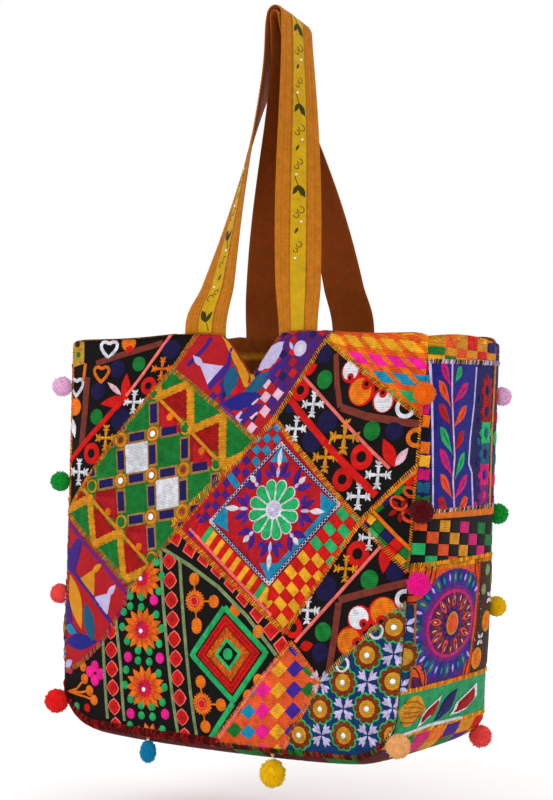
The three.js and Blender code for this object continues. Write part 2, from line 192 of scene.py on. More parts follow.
def base_point(s, q):
    p = between_seams(s, np.zeros_like(s), q, SEAM_CLEAR)
    p[..., 2] -= (SOFT_EDGE * rim(q) + BASE_BULGE * (1 - q * q)) * (1 - np.abs(s) ** 6)
    return p


def solve_rise(height_at, z):
    low = np.full_like(z, -0.1)
    high = np.full_like(z, 1.1)
    for _ in range(26):
        middle = (low + high) / 2
        under = height_at(middle) < z
        low = np.where(under, middle, low)
        high = np.where(under, high, middle)
    return (low + high) / 2


def raised(place, normal, lift):
    normal = normal / np.maximum(np.linalg.norm(normal, axis=-1, keepdims=True), TINY)
    return place + normal * np.asarray(lift)[..., None]


def turn_in(p, axis, sign, t, radius):
    """Rolls the cloth in over the rim, where t goes past 1."""
    over = np.maximum(t - 1, 0) * HEIGHT
    turn = np.minimum(over / radius, np.pi)
    p[..., axis] -= sign * radius * (1 - np.cos(turn))
    p[..., 2] += radius * np.sin(turn) - np.maximum(over - np.pi * radius, 0)
    return p


class Surface:
    """A face of the bag: layout millimetres u across and v down become places in space."""

    ds = 0.004
    dt = 0.003

    def place(self, u, v, lift):
        return self.at(*self.solve(u, v), lift)

    def at(self, s, t, lift):
        s0, s1 = np.maximum(s - self.ds, -1), np.minimum(s + self.ds, 1)
        t0, t1 = np.maximum(t - self.dt, self.low), np.minimum(t + self.dt, self.high)
        across = self.raw(s1, t) - self.raw(s0, t)
        upward = self.raw(s, t1) - self.raw(s, t0)
        return raised(self.raw(s, t), np.cross(across, upward) * self.facing, lift)


class Panel(Surface):
    low = 0.0
    high = 1 + RIM_OVER / HEIGHT

    def __init__(self, side):
        self.side = side
        self.mouth = MOUTHS[side]
        self.facing = -self.mouth["sign"]

    def hem(self, s):
        slot = np.maximum(STRAP_SLOT[0] - np.abs(s), np.abs(s) - STRAP_SLOT[1])
        ends = clamp((HEM_UNTIL - np.abs(s)) / HEM_SPREAD)
        return HEM_THIN + HEM_MORE * ends * clamp(slot / HEM_SPREAD)

    def solve(self, u, v):
        s = np.clip(u / PANEL_REACH, -1, 1)
        t = solve_rise(lambda k: level_z(s, k, self.mouth), -DROP - v)
        return s, np.clip(t, self.low, 1 + PATCH_OVER / HEIGHT)

    def raw(self, s, t):
        p = panel_point(self.side, s, np.clip(t, 0, 1))
        return turn_in(p, 1, self.mouth["sign"], t, self.hem(s))


class End(Surface):
    low = -0.25
    high = 1 + RIM_OVER / HEIGHT
    hem = 2.0

    def __init__(self, end):
        self.end = end
        self.facing = end

    def solve(self, u, v):
        q = np.clip(u / GUSSET_REACH, -1, 1)
        z = -DROP - v
        t = solve_rise(lambda k: self.raw(q, np.maximum(k, 0))[..., 2] + HEIGHT * np.minimum(k, 0), z)
        return q, np.clip(t, self.low, 1 + PATCH_OVER / HEIGHT)

    def raw(self, q, t):
        up = turn_in(gusset_point(self.end, q, np.clip(t, 0, 1)), 0, self.end, t, self.hem)
        radius = mix(FRONT_CORNER, BACK_CORNER, (q + 1) / 2)
        down = np.maximum(-t, 0) * HEIGHT
        angle = np.maximum(np.pi / 2 - down / radius, 0)
        flat = np.maximum(down - radius * np.pi / 2, 0)
        half = BASE_WIDTH / 2
        under = base_point(self.end * (half - radius + radius * np.sin(angle) - flat) / half, q)
        return np.where((t < 0)[..., None], under, up)


class Base(Surface):
    low = -1.0
    high = 1.0
    facing = -1
    dt = 0.004

    def solve(self, u, v):
        return np.clip(u * 2 / BASE_WIDTH, -1, 1), np.clip(v * 2 / BASE_DEPTH, -1, 1)

    def raw(self, s, t):
        return base_point(s, t)


FOLD_WIDE = np.array([math.cos(FOLD_TURN), math.sin(FOLD_TURN), 0])
FOLD_OVER = np.array([FOLD_WIDE[1], -FOLD_WIDE[0], 0])


def tail_point(side, hand, t, wide, lift):
    p = panel_point(side, 2 * (hand * STRAP_AT + wide) / TOP_WIDTH, t)
    p[..., 1] -= MOUTHS[side]["sign"] * STRAP_INSET
    p[..., 2] += lift
    return p


def leg_point(side, hand, k, wide):
    leg = LEGS[side]
    left = hand < 0
    top = np.ones_like(k)
    foot = tail_point(side, hand, top, np.zeros_like(k), 0)
    head = FOLD_OVER * (hand * FOLD_RADIUS[side])[..., None]
    head[..., 2] = FOLD_CENTRE_Z
    pick = {name: np.where(left, *pair) for name, pair in leg.items()}
    held = mix(pick["turn"], pick["hold"], 1 - (1 - k) ** HOLD_SPEED)
    eased = 1 - (1 - k ** pick["late"]) ** TURN_EASE
    turn = np.radians(mix(held, pick["top"], eased))
    bow = hand * pick["bow"] * np.sin(np.pi * k ** BOW_LATE)
    straight = mix(foot, head, k[..., None]) + FOLD_OVER * bow[..., None]
    straight = straight + np.stack([np.cos(turn), np.sin(turn), 0 * k], -1) * wide[..., None]
    rising = tail_point(side, hand, top, wide, k * (head[..., 2] - foot[..., 2]))
    settle = clamp(k / SETTLED)
    return mix(rising, straight, (settle * settle * (3 - 2 * settle))[..., None])


def strap_point(side, along, wide):
    flip = 1 if side == "front" else -1
    left = along < 2.5
    hand = np.where(left, -1.0, 1.0)
    reach = np.where(left, along, 5 - along)
    own = np.where(left, flip, -flip) * wide
    tail = tail_point(side, hand, mix(TAIL_LOW, 1, clamp(reach)), own, 0)
    leg = leg_point(side, hand, clamp(reach - 1), own)
    turn = np.clip(along - 2, 0, 1) * np.pi
    fold = FOLD_OVER * (-np.cos(turn) * FOLD_RADIUS[side])[..., None] - FOLD_WIDE * wide[..., None]
    fold[..., 2] = FOLD_CENTRE_Z + np.sin(turn) * FOLD_RADIUS[side]
    below = np.where((reach <= 1)[..., None], tail, leg)
    p = np.where((reach < 2)[..., None], below, fold)
    p[..., 2] += FOLD_DROOP * clamp(reach - 1) * wide / STRAP_WIDTH
    return p


class Strap(Surface):
    """u runs across the strap and v along it from the left end, both in millimetres."""

    def __init__(self, side):
        self.side = side
        self.knots = np.linspace(0, 5, STRAP_KNOTS)
        line = strap_point(side, self.knots, np.zeros(STRAP_KNOTS))
        steps = np.linalg.norm(np.diff(line, axis=0), axis=-1)
        self.run = np.concatenate([[0], np.cumsum(steps)])
        self.length = self.run[-1]

    def place(self, u, v, lift):
        step = 1.0
        a = np.interp(v, self.run, self.knots)
        a0, a1 = np.interp(v - step, self.run, self.knots), np.interp(v + step, self.run, self.knots)
        along = strap_point(self.side, a1, u) - strap_point(self.side, a0, u)
        across = strap_point(self.side, a, u + step) - strap_point(self.side, a, u - step)
        return raised(strap_point(self.side, a, u), np.cross(across, along), lift)


# Colours.
PALETTE = {
    "black": (0.06, 0.04, 0.04), "red": (0.86, 0.08, 0.06), "deep_red": (0.64, 0.06, 0.05),
    "coral": (0.98, 0.46, 0.42), "orange": (0.94, 0.46, 0.06), "gold": (0.87, 0.57, 0.09),
    "yellow": (0.97, 0.69, 0.14), "ochre": (0.70, 0.40, 0.06), "green": (0.07, 0.47, 0.18),
    "mint": (0.14, 0.71, 0.40), "navy": (0.11, 0.09, 0.36), "blue": (0.13, 0.13, 0.53),
    "purple": (0.26, 0.12, 0.52), "violet": (0.44, 0.12, 0.48), "white": (0.90, 0.90, 0.93),
    "lilac": (0.82, 0.77, 0.93), "pale_pink": (0.95, 0.76, 0.83), "teal": (0.10, 0.36, 0.50),
    "turquoise": (0.07, 0.57, 0.74), "hot_pink": (1.0, 0.11, 0.60), "magenta": (0.85, 0.07, 0.45),
    "rust": (0.50, 0.21, 0.16), "tan": (0.66, 0.48, 0.24), "sage": (0.52, 0.60, 0.40),
    "maroon": (0.34, 0.04, 0.06), "slate": (0.08, 0.22, 0.43), "orange_red": (0.92, 0.32, 0.11),
    "coral_red": (0.93, 0.36, 0.16), "brass": (0.80, 0.60, 0.20), "crimson": (0.73, 0.08, 0.13),
    # strap_back is the strap's own cloth darkened as painted shade, for the strap's inner face
    "strap": (0.80, 0.48, 0.10), "strap_back": (0.62, 0.29, 0.07), "ribbon": (0.83, 0.65, 0.06),
    "umber": (0.25, 0.13, 0.05), "lining": (0.55, 0.27, 0.07), "midnight": (0.10, 0.08, 0.27),
    "indigo": (0.26, 0.15, 0.62), "emerald": (0.16, 0.62, 0.38), "plum": (0.34, 0.10, 0.38),
    "lobe": (0.50, 0.20, 0.07), "olive": (0.25, 0.22, 0.05), "light_pink": (1.0, 0.76, 0.92),
    "peach": (1.0, 0.72, 0.46), "wool_blue": (0.05, 0.55, 0.76), "wool_red": (1.0, 0.14, 0.12),
    "wool_yellow": (1.0, 0.78, 0.03), "wool_green": (0.06, 0.62, 0.21), "wool_orange": (1.0, 0.45, 0.06),
    "wool_coral": (1.0, 0.32, 0.30), "wool_maroon": (0.36, 0.05, 0.08), "wool_pink": (1.0, 0.08, 0.58),
}
# Letters for rows of checks.
LETTERS = {
    "y": "yellow", "o": "orange", "r": "red", "p": "hot_pink", "t": "turquoise", "n": "navy", "g": "green",
    "m": "magenta", "k": "black", "w": "lilac", "v": "purple", "e": "mint", "d": "gold", "f": "orange_red",
    "c": "crimson", "x": "pale_pink", "u": "ochre", "b": "maroon",
}


def linear(colour):
    value = np.array(PALETTE[colour])
    return np.where(value < 0.04045, value / 12.92, ((value + 0.055) / 1.055) ** 2.4)


# Materials.
WAVE_BANDS = 20        # bands of Blender's wave texture in 2 pi metres at a scale of 1
THREAD_DEPTH = 0.0004


def add_node(tree, kind, **values):
    node = tree.nodes.new(kind)
    for name, value in values.items():
        if name in node.inputs:
            node.inputs[name].default_value = value
        else:
            setattr(node, name, value)
    return node


def map_range(tree, value, span, source=(0.0, 1.0)):
    node = add_node(tree, "ShaderNodeMapRange")
    for name, number in zip(("From Min", "From Max", "To Min", "To Max"), (*source, *span)):
        node.inputs[name].default_value = number
    tree.links.new(value, node.inputs["Value"])
    return node.outputs["Result"]


def times(tree, a, b):
    node = add_node(tree, "ShaderNodeMath", operation="MULTIPLY")
    tree.links.new(a, node.inputs[0])
    tree.links.new(b, node.inputs[1])
    return node.outputs[0]


def object_noise(tree, **values):
    place = add_node(tree, "ShaderNodeTexCoord")
    noise = add_node(tree, "ShaderNodeTexNoise", **values)
    tree.links.new(place.outputs["Object"], noise.inputs["Vector"])
    return noise.outputs["Fac"]


def start_material(name, **values):
    material = bpy.data.materials.new(name)
    material.use_nodes = True
    tree = material.node_tree
    shader = tree.nodes["Principled BSDF"]
    for socket, value in values.items():
        shader.inputs[socket.replace("_", " ")].default_value = value
    thread = add_node(tree, "ShaderNodeAttribute", attribute_name="thread")
    return material, tree, shader, thread.outputs["Color"]


def cloth_material(name, pitch, bump, roughness, sheen, mottle, shine, crossed=False):
    """Thread or weave over the colour that each point carries, darkened in the grooves between threads as
    painted shade and lightened on their crests as painted light. Pitch is in millimetres.
    """
    material, tree, shader, colour = start_material(
        name, Roughness=roughness, Sheen_Weight=sheen, Sheen_Roughness=0.4, Specular_IOR_Level=shine)
    link = tree.links.new
    uv = add_node(tree, "ShaderNodeUVMap", uv_map="grain")
    scale = 2 * math.pi / (WAVE_BANDS * pitch * MM)
    wave = add_node(tree, "ShaderNodeTexWave", Scale=scale, Distortion=1.2, Detail=1.0, bands_direction="Y")
    wave.inputs["Detail Scale"].default_value = 2.0
    link(uv.outputs["UV"], wave.inputs["Vector"])
    height = wave.outputs["Fac"]
    if crossed:
        warp = add_node(tree, "ShaderNodeTexWave", Scale=scale, Distortion=1.2, bands_direction="X")
        link(uv.outputs["UV"], warp.inputs["Vector"])
        height = times(tree, height, warp.outputs["Fac"])
    noise = object_noise(tree, Scale=140.0, Detail=4.0, Roughness=0.65)
    shade = map_range(tree, noise, (1 - mottle, 1 + mottle * 0.45), (0.3, 0.7))
    # The colour follows the thread relief: painted shade in the grooves, painted light on the crests.
    groove_shade = map_range(tree, height, (0.66, 1.14))
    tint = add_node(tree, "ShaderNodeVectorMath", operation="SCALE")
    link(colour, tint.inputs[0])
    link(times(tree, shade, groove_shade), tint.inputs["Scale"])
    link(tint.outputs[0], shader.inputs["Base Color"])
    bumps = add_node(tree, "ShaderNodeBump", Strength=bump, Distance=THREAD_DEPTH)
    link(height, bumps.inputs["Height"])
    link(bumps.outputs["Normal"], shader.inputs["Normal"])
    return material


def glint_material(name, metal, roughness):
    """A hard shiny surface with worn spots."""
    material, tree, shader, colour = start_material(name, Metallic=metal, Coat_Weight=0.5)
    tree.links.new(colour, shader.inputs["Base Color"])
    noise = object_noise(tree, Scale=400.0, Detail=3.0)
    worn = map_range(tree, noise, (roughness, roughness + 0.25))
    tree.links.new(worn, shader.inputs["Roughness"])
    return material


# Cloths: name, pitch, bump, roughness, sheen, mottle, shine.
THREAD = cloth_material("embroidery_thread", 1.5, 1.0, 0.7, 0.02, 0.4, 0.1)
SATIN = cloth_material("printed_satin", 0.9, 0.3, 0.6, 0.02, 0.2, 0.1, crossed=True)
COTTON = cloth_material("strap_cotton", 0.9, 0.5, 0.8, 0.03, 0.16, 0.1, crossed=True)
LINING = cloth_material("lining_cotton", 0.7, 0.5, 0.85, 0.02, 0.3, 0.06, crossed=True)
WOOL = cloth_material("pompom_wool", 0.5, 0.4, 0.9, 0.1, 0.1, 0.05)
SHISHA = glint_material("shisha_mirror", 0.9, 0.12)
BEAD = glint_material("seed_bead", 0.2, 0.15)


# Plane geometry of the layout.
def unit(vector):
    return vector / max(np.linalg.norm(vector), TINY)


def heading(degrees):
    turn = math.radians(degrees)
    return np.array([math.cos(turn), math.sin(turn)])


def left_of(way):
    return np.array([-way[1], way[0]])


def edges(outline):
    return zip(outline, np.roll(outline, -1, axis=0))


def grid_faces(rows, columns, start=0, closed=False, turned=False):
    """Quads between the points of a grid that is stored row by row."""
    faces = []
    for i in range(rows - 1):
        for j in range(columns if closed else columns - 1):
            a = start + i * columns + j
            b = start + i * columns + (j + 1) % columns
            quad = [a, b, b + columns, a + columns]
            faces.append(quad[:1] + quad[:0:-1] if turned else quad)
    return faces


# Outlines in the layout, as n by 2 arrays. All run the same way round.
def disc(u, v, r, count=16, squash=1.0, turn=0.0):
    a = np.linspace(0, 2 * np.pi, count, endpoint=False)
    x, y = r * np.cos(a), r * squash * np.sin(a)
    c, s = math.cos(turn), math.sin(turn)
    return np.stack([u + x * c - y * s, v + x * s + y * c], -1)


def petal_outline(start, tip, width, count=7, fullest=0.9):
    start, tip = np.array(start, float), np.array(tip, float)
    way = tip - start
    side = left_of(unit(way))
    k = np.linspace(0, 1, count)
    wide = width / 2 * np.sin(np.pi * k ** fullest)
    right = start + way * k[:, None] - side * wide[:, None]
    left = start + way * k[:, None] + side * wide[:, None]
    return np.concatenate([right, left[-2:0:-1]])


def box_outline(u, v, width, height, turn=0.0):
    corners = np.array([[-1, -1], [1, -1], [1, 1], [-1, 1]]) * [width / 2, height / 2]
    c, s = math.cos(turn), math.sin(turn)
    return corners @ np.array([[c, s], [-s, c]]) + [u, v]


def cushion(u, v, wide, tall, full=0.6):
    """A diamond with swollen sides."""
    half = [(1, 0), (full, full), (0, 1), (-full, full)]
    return np.array(half + [(-a, -b) for a, b in half]) * [wide, tall] + [u, v]


def wedge(centre, turn, near, far, narrow, wide):
    """A petal that widens from its foot to a round end."""
    way = np.array([math.cos(turn), math.sin(turn)])
    side = left_of(way)
    foot = [centre + way * near + side * narrow, centre + way * near - side * narrow]
    round_end = np.linspace(-np.pi / 2, np.pi / 2, 7)
    return np.array(foot + [centre + way * (far - wide + wide * math.cos(k)) + side * wide * math.sin(k)
                            for k in round_end])


def signed_area(outline):
    x, y = outline[:, 0], outline[:, 1]
    return 0.5 * float(np.sum(x * np.roll(y, -1) - y * np.roll(x, -1)))


def cut(outline, start, normal):
    """Keeps the part of an outline on the side of a line that the normal points to."""
    if len(outline) < 3:
        return outline
    side = (outline - start) @ normal
    kept = []
    for i in range(len(outline)):
        j = (i + 1) % len(outline)
        if side[i] >= 0:
            kept.append(outline[i])
        if (side[i] >= 0) != (side[j] >= 0):
            kept.append(outline[i] + (outline[j] - outline[i]) * side[i] / (side[i] - side[j]))
    return np.array(kept).reshape(-1, 2)


def densify(outline, step, closed=True):
    ends = np.roll(outline, -1, axis=0) if closed else outline[1:]
    rows = []
    for a, b in zip(outline, ends):
        count = max(1, int(math.ceil(np.linalg.norm(b - a) / step)))
        rows.append(a + (b - a) * (np.arange(count) / count)[:, None])
    if not closed:
        rows.append(outline[-1:])
    return np.concatenate(rows)


def pairs(numbers):
    return np.array(numbers, float).reshape(-1, 2)


BROAD = 10.0           # motifs wider than this have more rings
BROAD_RINGS = (1, 0.86, 0.55, 0.28)
EDGE_CLEAR = 0.4       # how far inner points keep from an edge, in steps
RIDGE_TOP = 0.28
STITCH_INSET = 0.18
LINK_RINGS = (1.0, 0.72, 0.42)
LINK_POINTS = 8
LINK_SQUASH = 0.75
FIELD_VARY = 0.03      # how far a piece's colour may stray, as a share
MOTIF_VARY = 0.08
STITCH_VARY = 0.18


class Sewing:
    """Collects cloth, stitches and motifs laid out on one surface and makes one mesh of them."""

    def __init__(self, surface):
        self.surface = surface
        self.places, self.lifts, self.tints, self.grains, self.faces = [], [], [], [], []
        self.count = 0

    def add(self, places, lifts, faces, colour, grain=0.0, vary=MOTIF_VARY):
        tint = linear(colour) * (1 + rng.uniform(-vary, vary))
        c, s = math.cos(grain), math.sin(grain)
        self.places.append(places)
        self.lifts.append(np.broadcast_to(np.asarray(lifts, float), len(places)))
        self.tints.append(np.broadcast_to(tint, (len(places), 3)))
        self.grains.append(places @ np.array([[c, -s], [s, c]]))
        self.faces.extend([[self.count + i for i in face] for face in faces])
        self.count += len(places)

    def blob(self, outline, colour, low, high, crown=0.2, grain=0.0):
        """A raised convex motif: a steep edge, then a crowned top. A broad one has more rings."""
        n = len(outline)
        centre = outline.mean(0)
        broad = np.linalg.norm(outline - centre, axis=-1).max() > BROAD
        shares = BROAD_RINGS if broad else BROAD_RINGS[:2]
        places = np.concatenate([centre + (outline - centre) * share for share in shares] + [centre[None]])
        lifts = np.append(np.repeat((low,) + (high,) * (len(shares) - 1), n), high + crown)
        ring = grid_faces(len(shares), n, closed=True)
        last = (len(shares) - 1) * n
        fan = [[last + i, last + (i + 1) % n, last + n] for i in range(n)]
        self.add(places, lifts, ring + fan, colour, grain)

    def field(self, outline, colour, lift, step=7.0):
        """A flat piece of cloth of any convex outline."""
        edge = densify(outline, step)
        low, high = edge.min(0), edge.max(0)
        grid = np.stack(np.meshgrid(np.arange(low[0], high[0], step), np.arange(low[1], high[1], step)), -1)
        grid = grid.reshape(-1, 2)
        for a, b in edges(outline):
            grid = grid[(grid - a) @ left_of(unit(b - a)) > step * EDGE_CLEAR]
        points = np.concatenate([edge, grid])
        made = delaunay_2d_cdt([Vector(p) for p in points], [], [list(range(len(edge)))], 1, 1e-4)
        places = np.array([tuple(p) for p in made[0]])
        self.add(places, lift, [list(f) for f in made[2]], colour, vary=FIELD_VARY)

    def ridge(self, line, width, colour, low, high, step=4.0):
        """A raised line such as couched cord or ribbon."""
        line = densify(line, step, closed=False)
        way = np.gradient(line, axis=0)
        way /= np.maximum(np.linalg.norm(way, axis=-1, keepdims=True), TINY)
        side = np.stack([-way[:, 1], way[:, 0]], -1)
        shares, rises = (-0.5, -RIDGE_TOP, RIDGE_TOP, 0.5), (low, high, high, low)
        places = np.concatenate([line + side * width * k for k in shares])
        lifts = np.concatenate([np.full(len(line), rise) for rise in rises])
        n = len(line)
        turn = math.atan2(way[n // 2][1], way[n // 2][0])
        self.add(places, lifts, grid_faces(len(shares), n), colour, turn + math.pi / 2)

    def stitch(self, a, b, width, colour, low, high):
        a, b = np.asarray(a, float), np.asarray(b, float)
        way = unit(b - a)
        side = left_of(way) * width / 2
        inset = (b - a) * STITCH_INSET
        places = np.array([a - side, b - side, b + side, a + side, a + inset, b - inset])
        lifts = [low, low, low, low, high, high]
        faces = [[0, 1, 5, 4], [1, 2, 5], [2, 3, 4, 5], [3, 0, 4]]
        self.add(places, lifts, faces, colour, math.atan2(way[1], way[0]), STITCH_VARY)

    def link(self, u, v, r, colour, low, high, turn=0.0):
        """One link of a chain stitch."""
        rings = [disc(u, v, r * k, LINK_POINTS, LINK_SQUASH, turn) for k in LINK_RINGS]
        lifts = np.repeat([low, high, low], LINK_POINTS)
        faces = grid_faces(len(rings), LINK_POINTS, closed=True)
        self.add(np.concatenate(rings), lifts, faces, colour, turn)

    def build(self, name, material):
        places = np.concatenate(self.places)
        points = self.surface.place(places[:, 0], places[:, 1], np.concatenate(self.lifts)) * MM
        return mesh_piece(name, points, self.faces, np.concatenate(self.tints), material,
                          np.concatenate(self.grains) * MM)


SPECK = 2e-9           # twice the area of a face that counts as nothing, in square metres


def mesh_piece(name, points, faces, tints, material, grain=None):
    """Makes a piece of the bag. Faces that the bag's edge has folded to nothing are left out."""
    firsts = np.array([face[:3] for face in faces])
    lasts = np.array([(face[0], face[-2], face[-1]) for face in faces])
    size = np.zeros(len(faces))
    for three in (firsts, lasts):
        a, b, c = (points[three[:, k]] for k in range(3))
        size += np.linalg.norm(np.cross(b - a, c - a), axis=-1)
    faces = [face for face, area in zip(faces, size) if area > SPECK]
    used = np.unique(np.concatenate([np.array(face) for face in faces]))
    renumber = np.zeros(len(points), int)
    renumber[used] = np.arange(len(used))
    points = points[used]
    mesh = bpy.data.meshes.new(name)
    mesh.from_pydata(points.tolist(), [], [[int(renumber[i]) for i in face] for face in faces])
    rgba = np.ones((len(points), 4))
    rgba[:, :3] = tints[used]
    mesh.color_attributes.new("thread", "FLOAT_COLOR", "POINT").data.foreach_set("color", rgba.ravel())
    grain = points[:, [0, 2]] if grain is None else grain[used]
    loops = np.empty(len(mesh.loops), int)
    mesh.loops.foreach_get("vertex_index", loops)
    mesh.uv_layers.new(name="grain").data.foreach_set("uv", grain[loops].ravel())
    mesh.polygons.foreach_set("use_smooth", [True] * len(mesh.polygons))
    mesh.materials.append(material)
    mesh.update()
    piece = bpy.data.objects.new(name, mesh)
    bpy.context.scene.collection.objects.link(piece)
    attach(piece, "root")
    return piece


MOTIF_FOOT = 0.03      # how far a motif's edge lies over its ground
LEAST_MOTIF = 1.5      # smaller motifs and areas are left out, in square millimetres
LEAST_AREA = 4
LOBES = 10
LOBES_AT = 10.4


class Patch:
    """One patch of the layout: its ground, its motifs cut to its outline, and its seam."""

    def __init__(self, sewing, outline, level, ground, covers=(), overlap=2.5):
        self.sewing = sewing
        self.outline = pairs(outline)
        self.covers = [pairs(cover) for cover in covers]
        self.low = LAYER * level
        self.loose = False     # motifs of a loose patch aren't cut to its outline
        self.shine = []        # places and radii of small mirrors
        centre = self.outline.mean(0)
        away = self.outline - centre
        reach = np.linalg.norm(away, axis=-1, keepdims=True)
        sewing.field(centre + away * (1 + overlap / reach), ground, self.low)

    def trim(self, outline):
        if signed_area(outline) < 0:
            outline = outline[::-1]
        if self.loose:
            return outline
        for a, b in edges(self.outline):
            outline = cut(outline, a, left_of(b - a))
        for cover in self.covers:
            if len(outline) < 3:
                break
            centre = outline.mean(0)
            sides = [(a, -left_of(unit(b - a))) for a, b in edges(cover)]
            outline = cut(outline, *max(sides, key=lambda side: (centre - side[0]) @ side[1]))
        return outline

    def holds(self, point):
        inside = all((point - a) @ left_of(b - a) >= 0 for a, b in edges(self.outline))
        return inside and not self.covered(point)

    def covered(self, point, margin=0.5):
        def depth(cover):
            return min((point - a) @ left_of(unit(b - a)) for a, b in edges(cover))

        return any(depth(cover) > margin for cover in self.covers)

    def blob(self, colour, outline, high=0.6, crown=0.2, grain=0.0):
        outline = self.trim(np.asarray(outline, float))
        if len(outline) < 3 or signed_area(outline) < LEAST_MOTIF:
            return
        self.sewing.blob(outline, colour, self.low + MOTIF_FOOT, self.low + high, crown, grain)

    def area(self, colour, *numbers, lift=0.12):
        outline = self.trim(pairs(numbers))
        if len(outline) > 2 and signed_area(outline) > LEAST_AREA:
            self.sewing.field(outline, colour, self.low + lift)

    def shape(self, colour, *numbers, high=0.55):
        self.blob(colour, densify(pairs(numbers), 8), high, 0.1)

    def disc(self, colour, u, v, r, high=0.7):
        self.blob(colour, disc(u, v, r, 12 + int(r / 3) * 2), high, 0.3)

    def ring(self, colour, u, v, r, hole="black"):
        self.disc(colour, u, v, r, 0.7)
        self.blob(hole, disc(u, v, r * 0.48, 12), 1.15, 0.02)

    def petal(self, colour, u0, v0, u1, v1, width, high=0.75):
        grain = math.atan2(v1 - v0, u1 - u0)
        self.blob(colour, petal_outline((u0, v0), (u1, v1), width), high, 0.25, grain)

    def box(self, colour, u, v, width, height, turn=0.0, high=0.6):
        turn = math.radians(turn)
        self.blob(colour, box_outline(u, v, width, height, turn), high, 0.12, turn)

    def band(self, colour, width, *numbers, high=0.55):
        line = densify(pairs(numbers), 3.0, closed=False)
        run = []
        for point in list(line) + [None]:
            if point is not None and self.holds(point):
                run.append(point)
            else:
                if len(run) > 1:
                    self.sewing.ridge(np.array(run), width, colour, self.low + MOTIF_FOOT, self.low + high)
                run = []

    def cord(self, colour, width, *numbers):
        """A band that lies over the discs beside it."""
        self.band(colour, width, *numbers, high=1.2)

    def loop(self, colour, width, u, v, r, squash=1.0, turn=0.0, high=0.6):
        ring = disc(u, v, r, 18, squash, math.radians(turn))
        self.band(colour, width, *np.concatenate([ring, ring[:1]]).ravel(), high=high)

    def cross(self, colour, u, v, size, turn=0.0):
        """A plus sign with a bar across each arm and a forked end."""
        centre = np.array([u, v])
        for arm in range(4):
            way = size * heading(turn + 90 * arm)
            side = left_of(way)
            bar, fork, tip = centre + way * 0.3, centre + way * 0.34, centre + way * 0.5
            self.petal(colour, *(centre - way * 0.06), *tip, size * 0.125, 0.9)
            self.petal(colour, *(bar - side * 0.17), *(bar + side * 0.17), size * 0.09, 0.95)
            for hand in (-1, 1):
                self.petal(colour, *fork, *(tip + side * hand * 0.15), size * 0.09, 0.8)

    def heart(self, colour, u, v, size, turn=0.0):
        a = np.linspace(0, 2 * np.pi, 22)
        x = 0.5 * np.sin(a) ** 3
        y = -(0.42 * np.cos(a) - 0.16 * np.cos(2 * a) - 0.06 * np.cos(3 * a))
        c, s = heading(turn)
        line = np.stack([u + size * (x * c - y * s), v + size * (x * s + y * c)], -1)
        self.band(colour, size * 0.19, *line.ravel())

    def paisley(self, colour, u, v, r, turn=40):
        """A fat drop edged in red, with a red curl round a dark heart."""
        du, dv = r * heading(turn)
        self.disc("red", u + du * 0.1, v + dv * 0.1, r * 1.13, 0.4)
        self.disc(colour, u, v, r, 0.75)
        if colour == "orange":
            self.loop("gold", 1.8, u - du * 0.12, v - dv * 0.12, r * 0.66, high=1.15)
        self.disc("red", u + du * 0.66, v + dv * 0.66, r * 0.44, 1.2)
        self.disc("black", u + du * 0.72, v + dv * 0.72, r * 0.2, 1.55)

    def star(self, colour, u, v, r, count, width, inner=0.25, turn=0.0, high=0.7, squash=1.0):
        for i in range(count):
            a = math.radians(turn) + 2 * math.pi * i / count
            c, s = math.cos(a), squash * math.sin(a)
            self.petal(colour, u + c * r * inner, v + s * r * inner, u + c * r, v + s * r, width, high)

    def mirror_flower(self, u, v, lift=0.0):
        """A ring of lobes round a padded holder for a mirror."""
        for lobe in range(LOBES):
            a = 2 * math.pi * lobe / LOBES
            edge = u + LOBES_AT * math.cos(a), v + LOBES_AT * math.sin(a)
            self.disc("mint", *edge, 5.0, lift + 0.35)
            self.disc("lobe", *edge, 3.7, lift + 0.8)
        self.disc("gold", u, v, 9.0, lift + 1.1)
        self.disc("brass", u, v, 6.4, lift + 1.6)

    def checks(self, origin, across, down, rows, share=0.94, high=0.45):
        origin, across, down = (np.array(k, float) for k in (origin, across, down))
        grain = math.atan2(across[1], across[0])
        for j, row in enumerate(rows):
            for i, letter in enumerate(row):
                if letter == ".":
                    continue
                centre = origin + across * (i + 0.5) + down * (j + 0.5)
                corners = [centre + share * (across * a + down * b) / 2
                           for a, b in ((-1, -1), (1, -1), (1, 1), (-1, 1))]
                self.blob(LETTERS[letter], densify(np.array(corners), 9), high, 0.12, grain)

    def chain(self, colour, start, end, size=4.0):
        start, end = np.array(start, float), np.array(end, float)
        way = end - start
        count = int(np.linalg.norm(way) / (size * 0.95))
        turn = math.atan2(way[1], way[0])
        for i in range(count):
            point = start + way * (i + 0.5) / count
            if self.holds(point):
                self.sewing.link(*point, size * 0.62, colour, self.low + 0.1, self.low + 0.95, turn)

    def seam(self, colours, width=5.6, pitch=2.3, skip=()):
        """Blanket stitches over the outline, shorter and longer in turn."""
        for i, (a, b) in enumerate(edges(self.outline)):
            if i in skip:
                continue
            way = unit(b - a)
            side = left_of(way)
            count = int(np.linalg.norm(b - a) / pitch)
            for k in range(count):
                point = a + (b - a) * (k + 0.5) / count
                if self.covered(point, 1.0):
                    continue
                reach = width * rng.uniform(0.44, 0.58)
                slant = way * rng.uniform(0.3, 1.3)
                self.sewing.stitch(point - side * reach + slant, point + side * width * 0.45 - slant, 1.25,
                                   rng.choice(colours), self.low + 0.05, self.low + 1.1)

    def sew(self, rows):
        """Sews a table of motifs. Each row has a kind, a colour, and the numbers of each motif."""
        for kind, colour, *motifs in rows:
            for numbers in motifs:
                getattr(self, kind)(colour, *numbers)


MIRROR_LIFT = 1.9

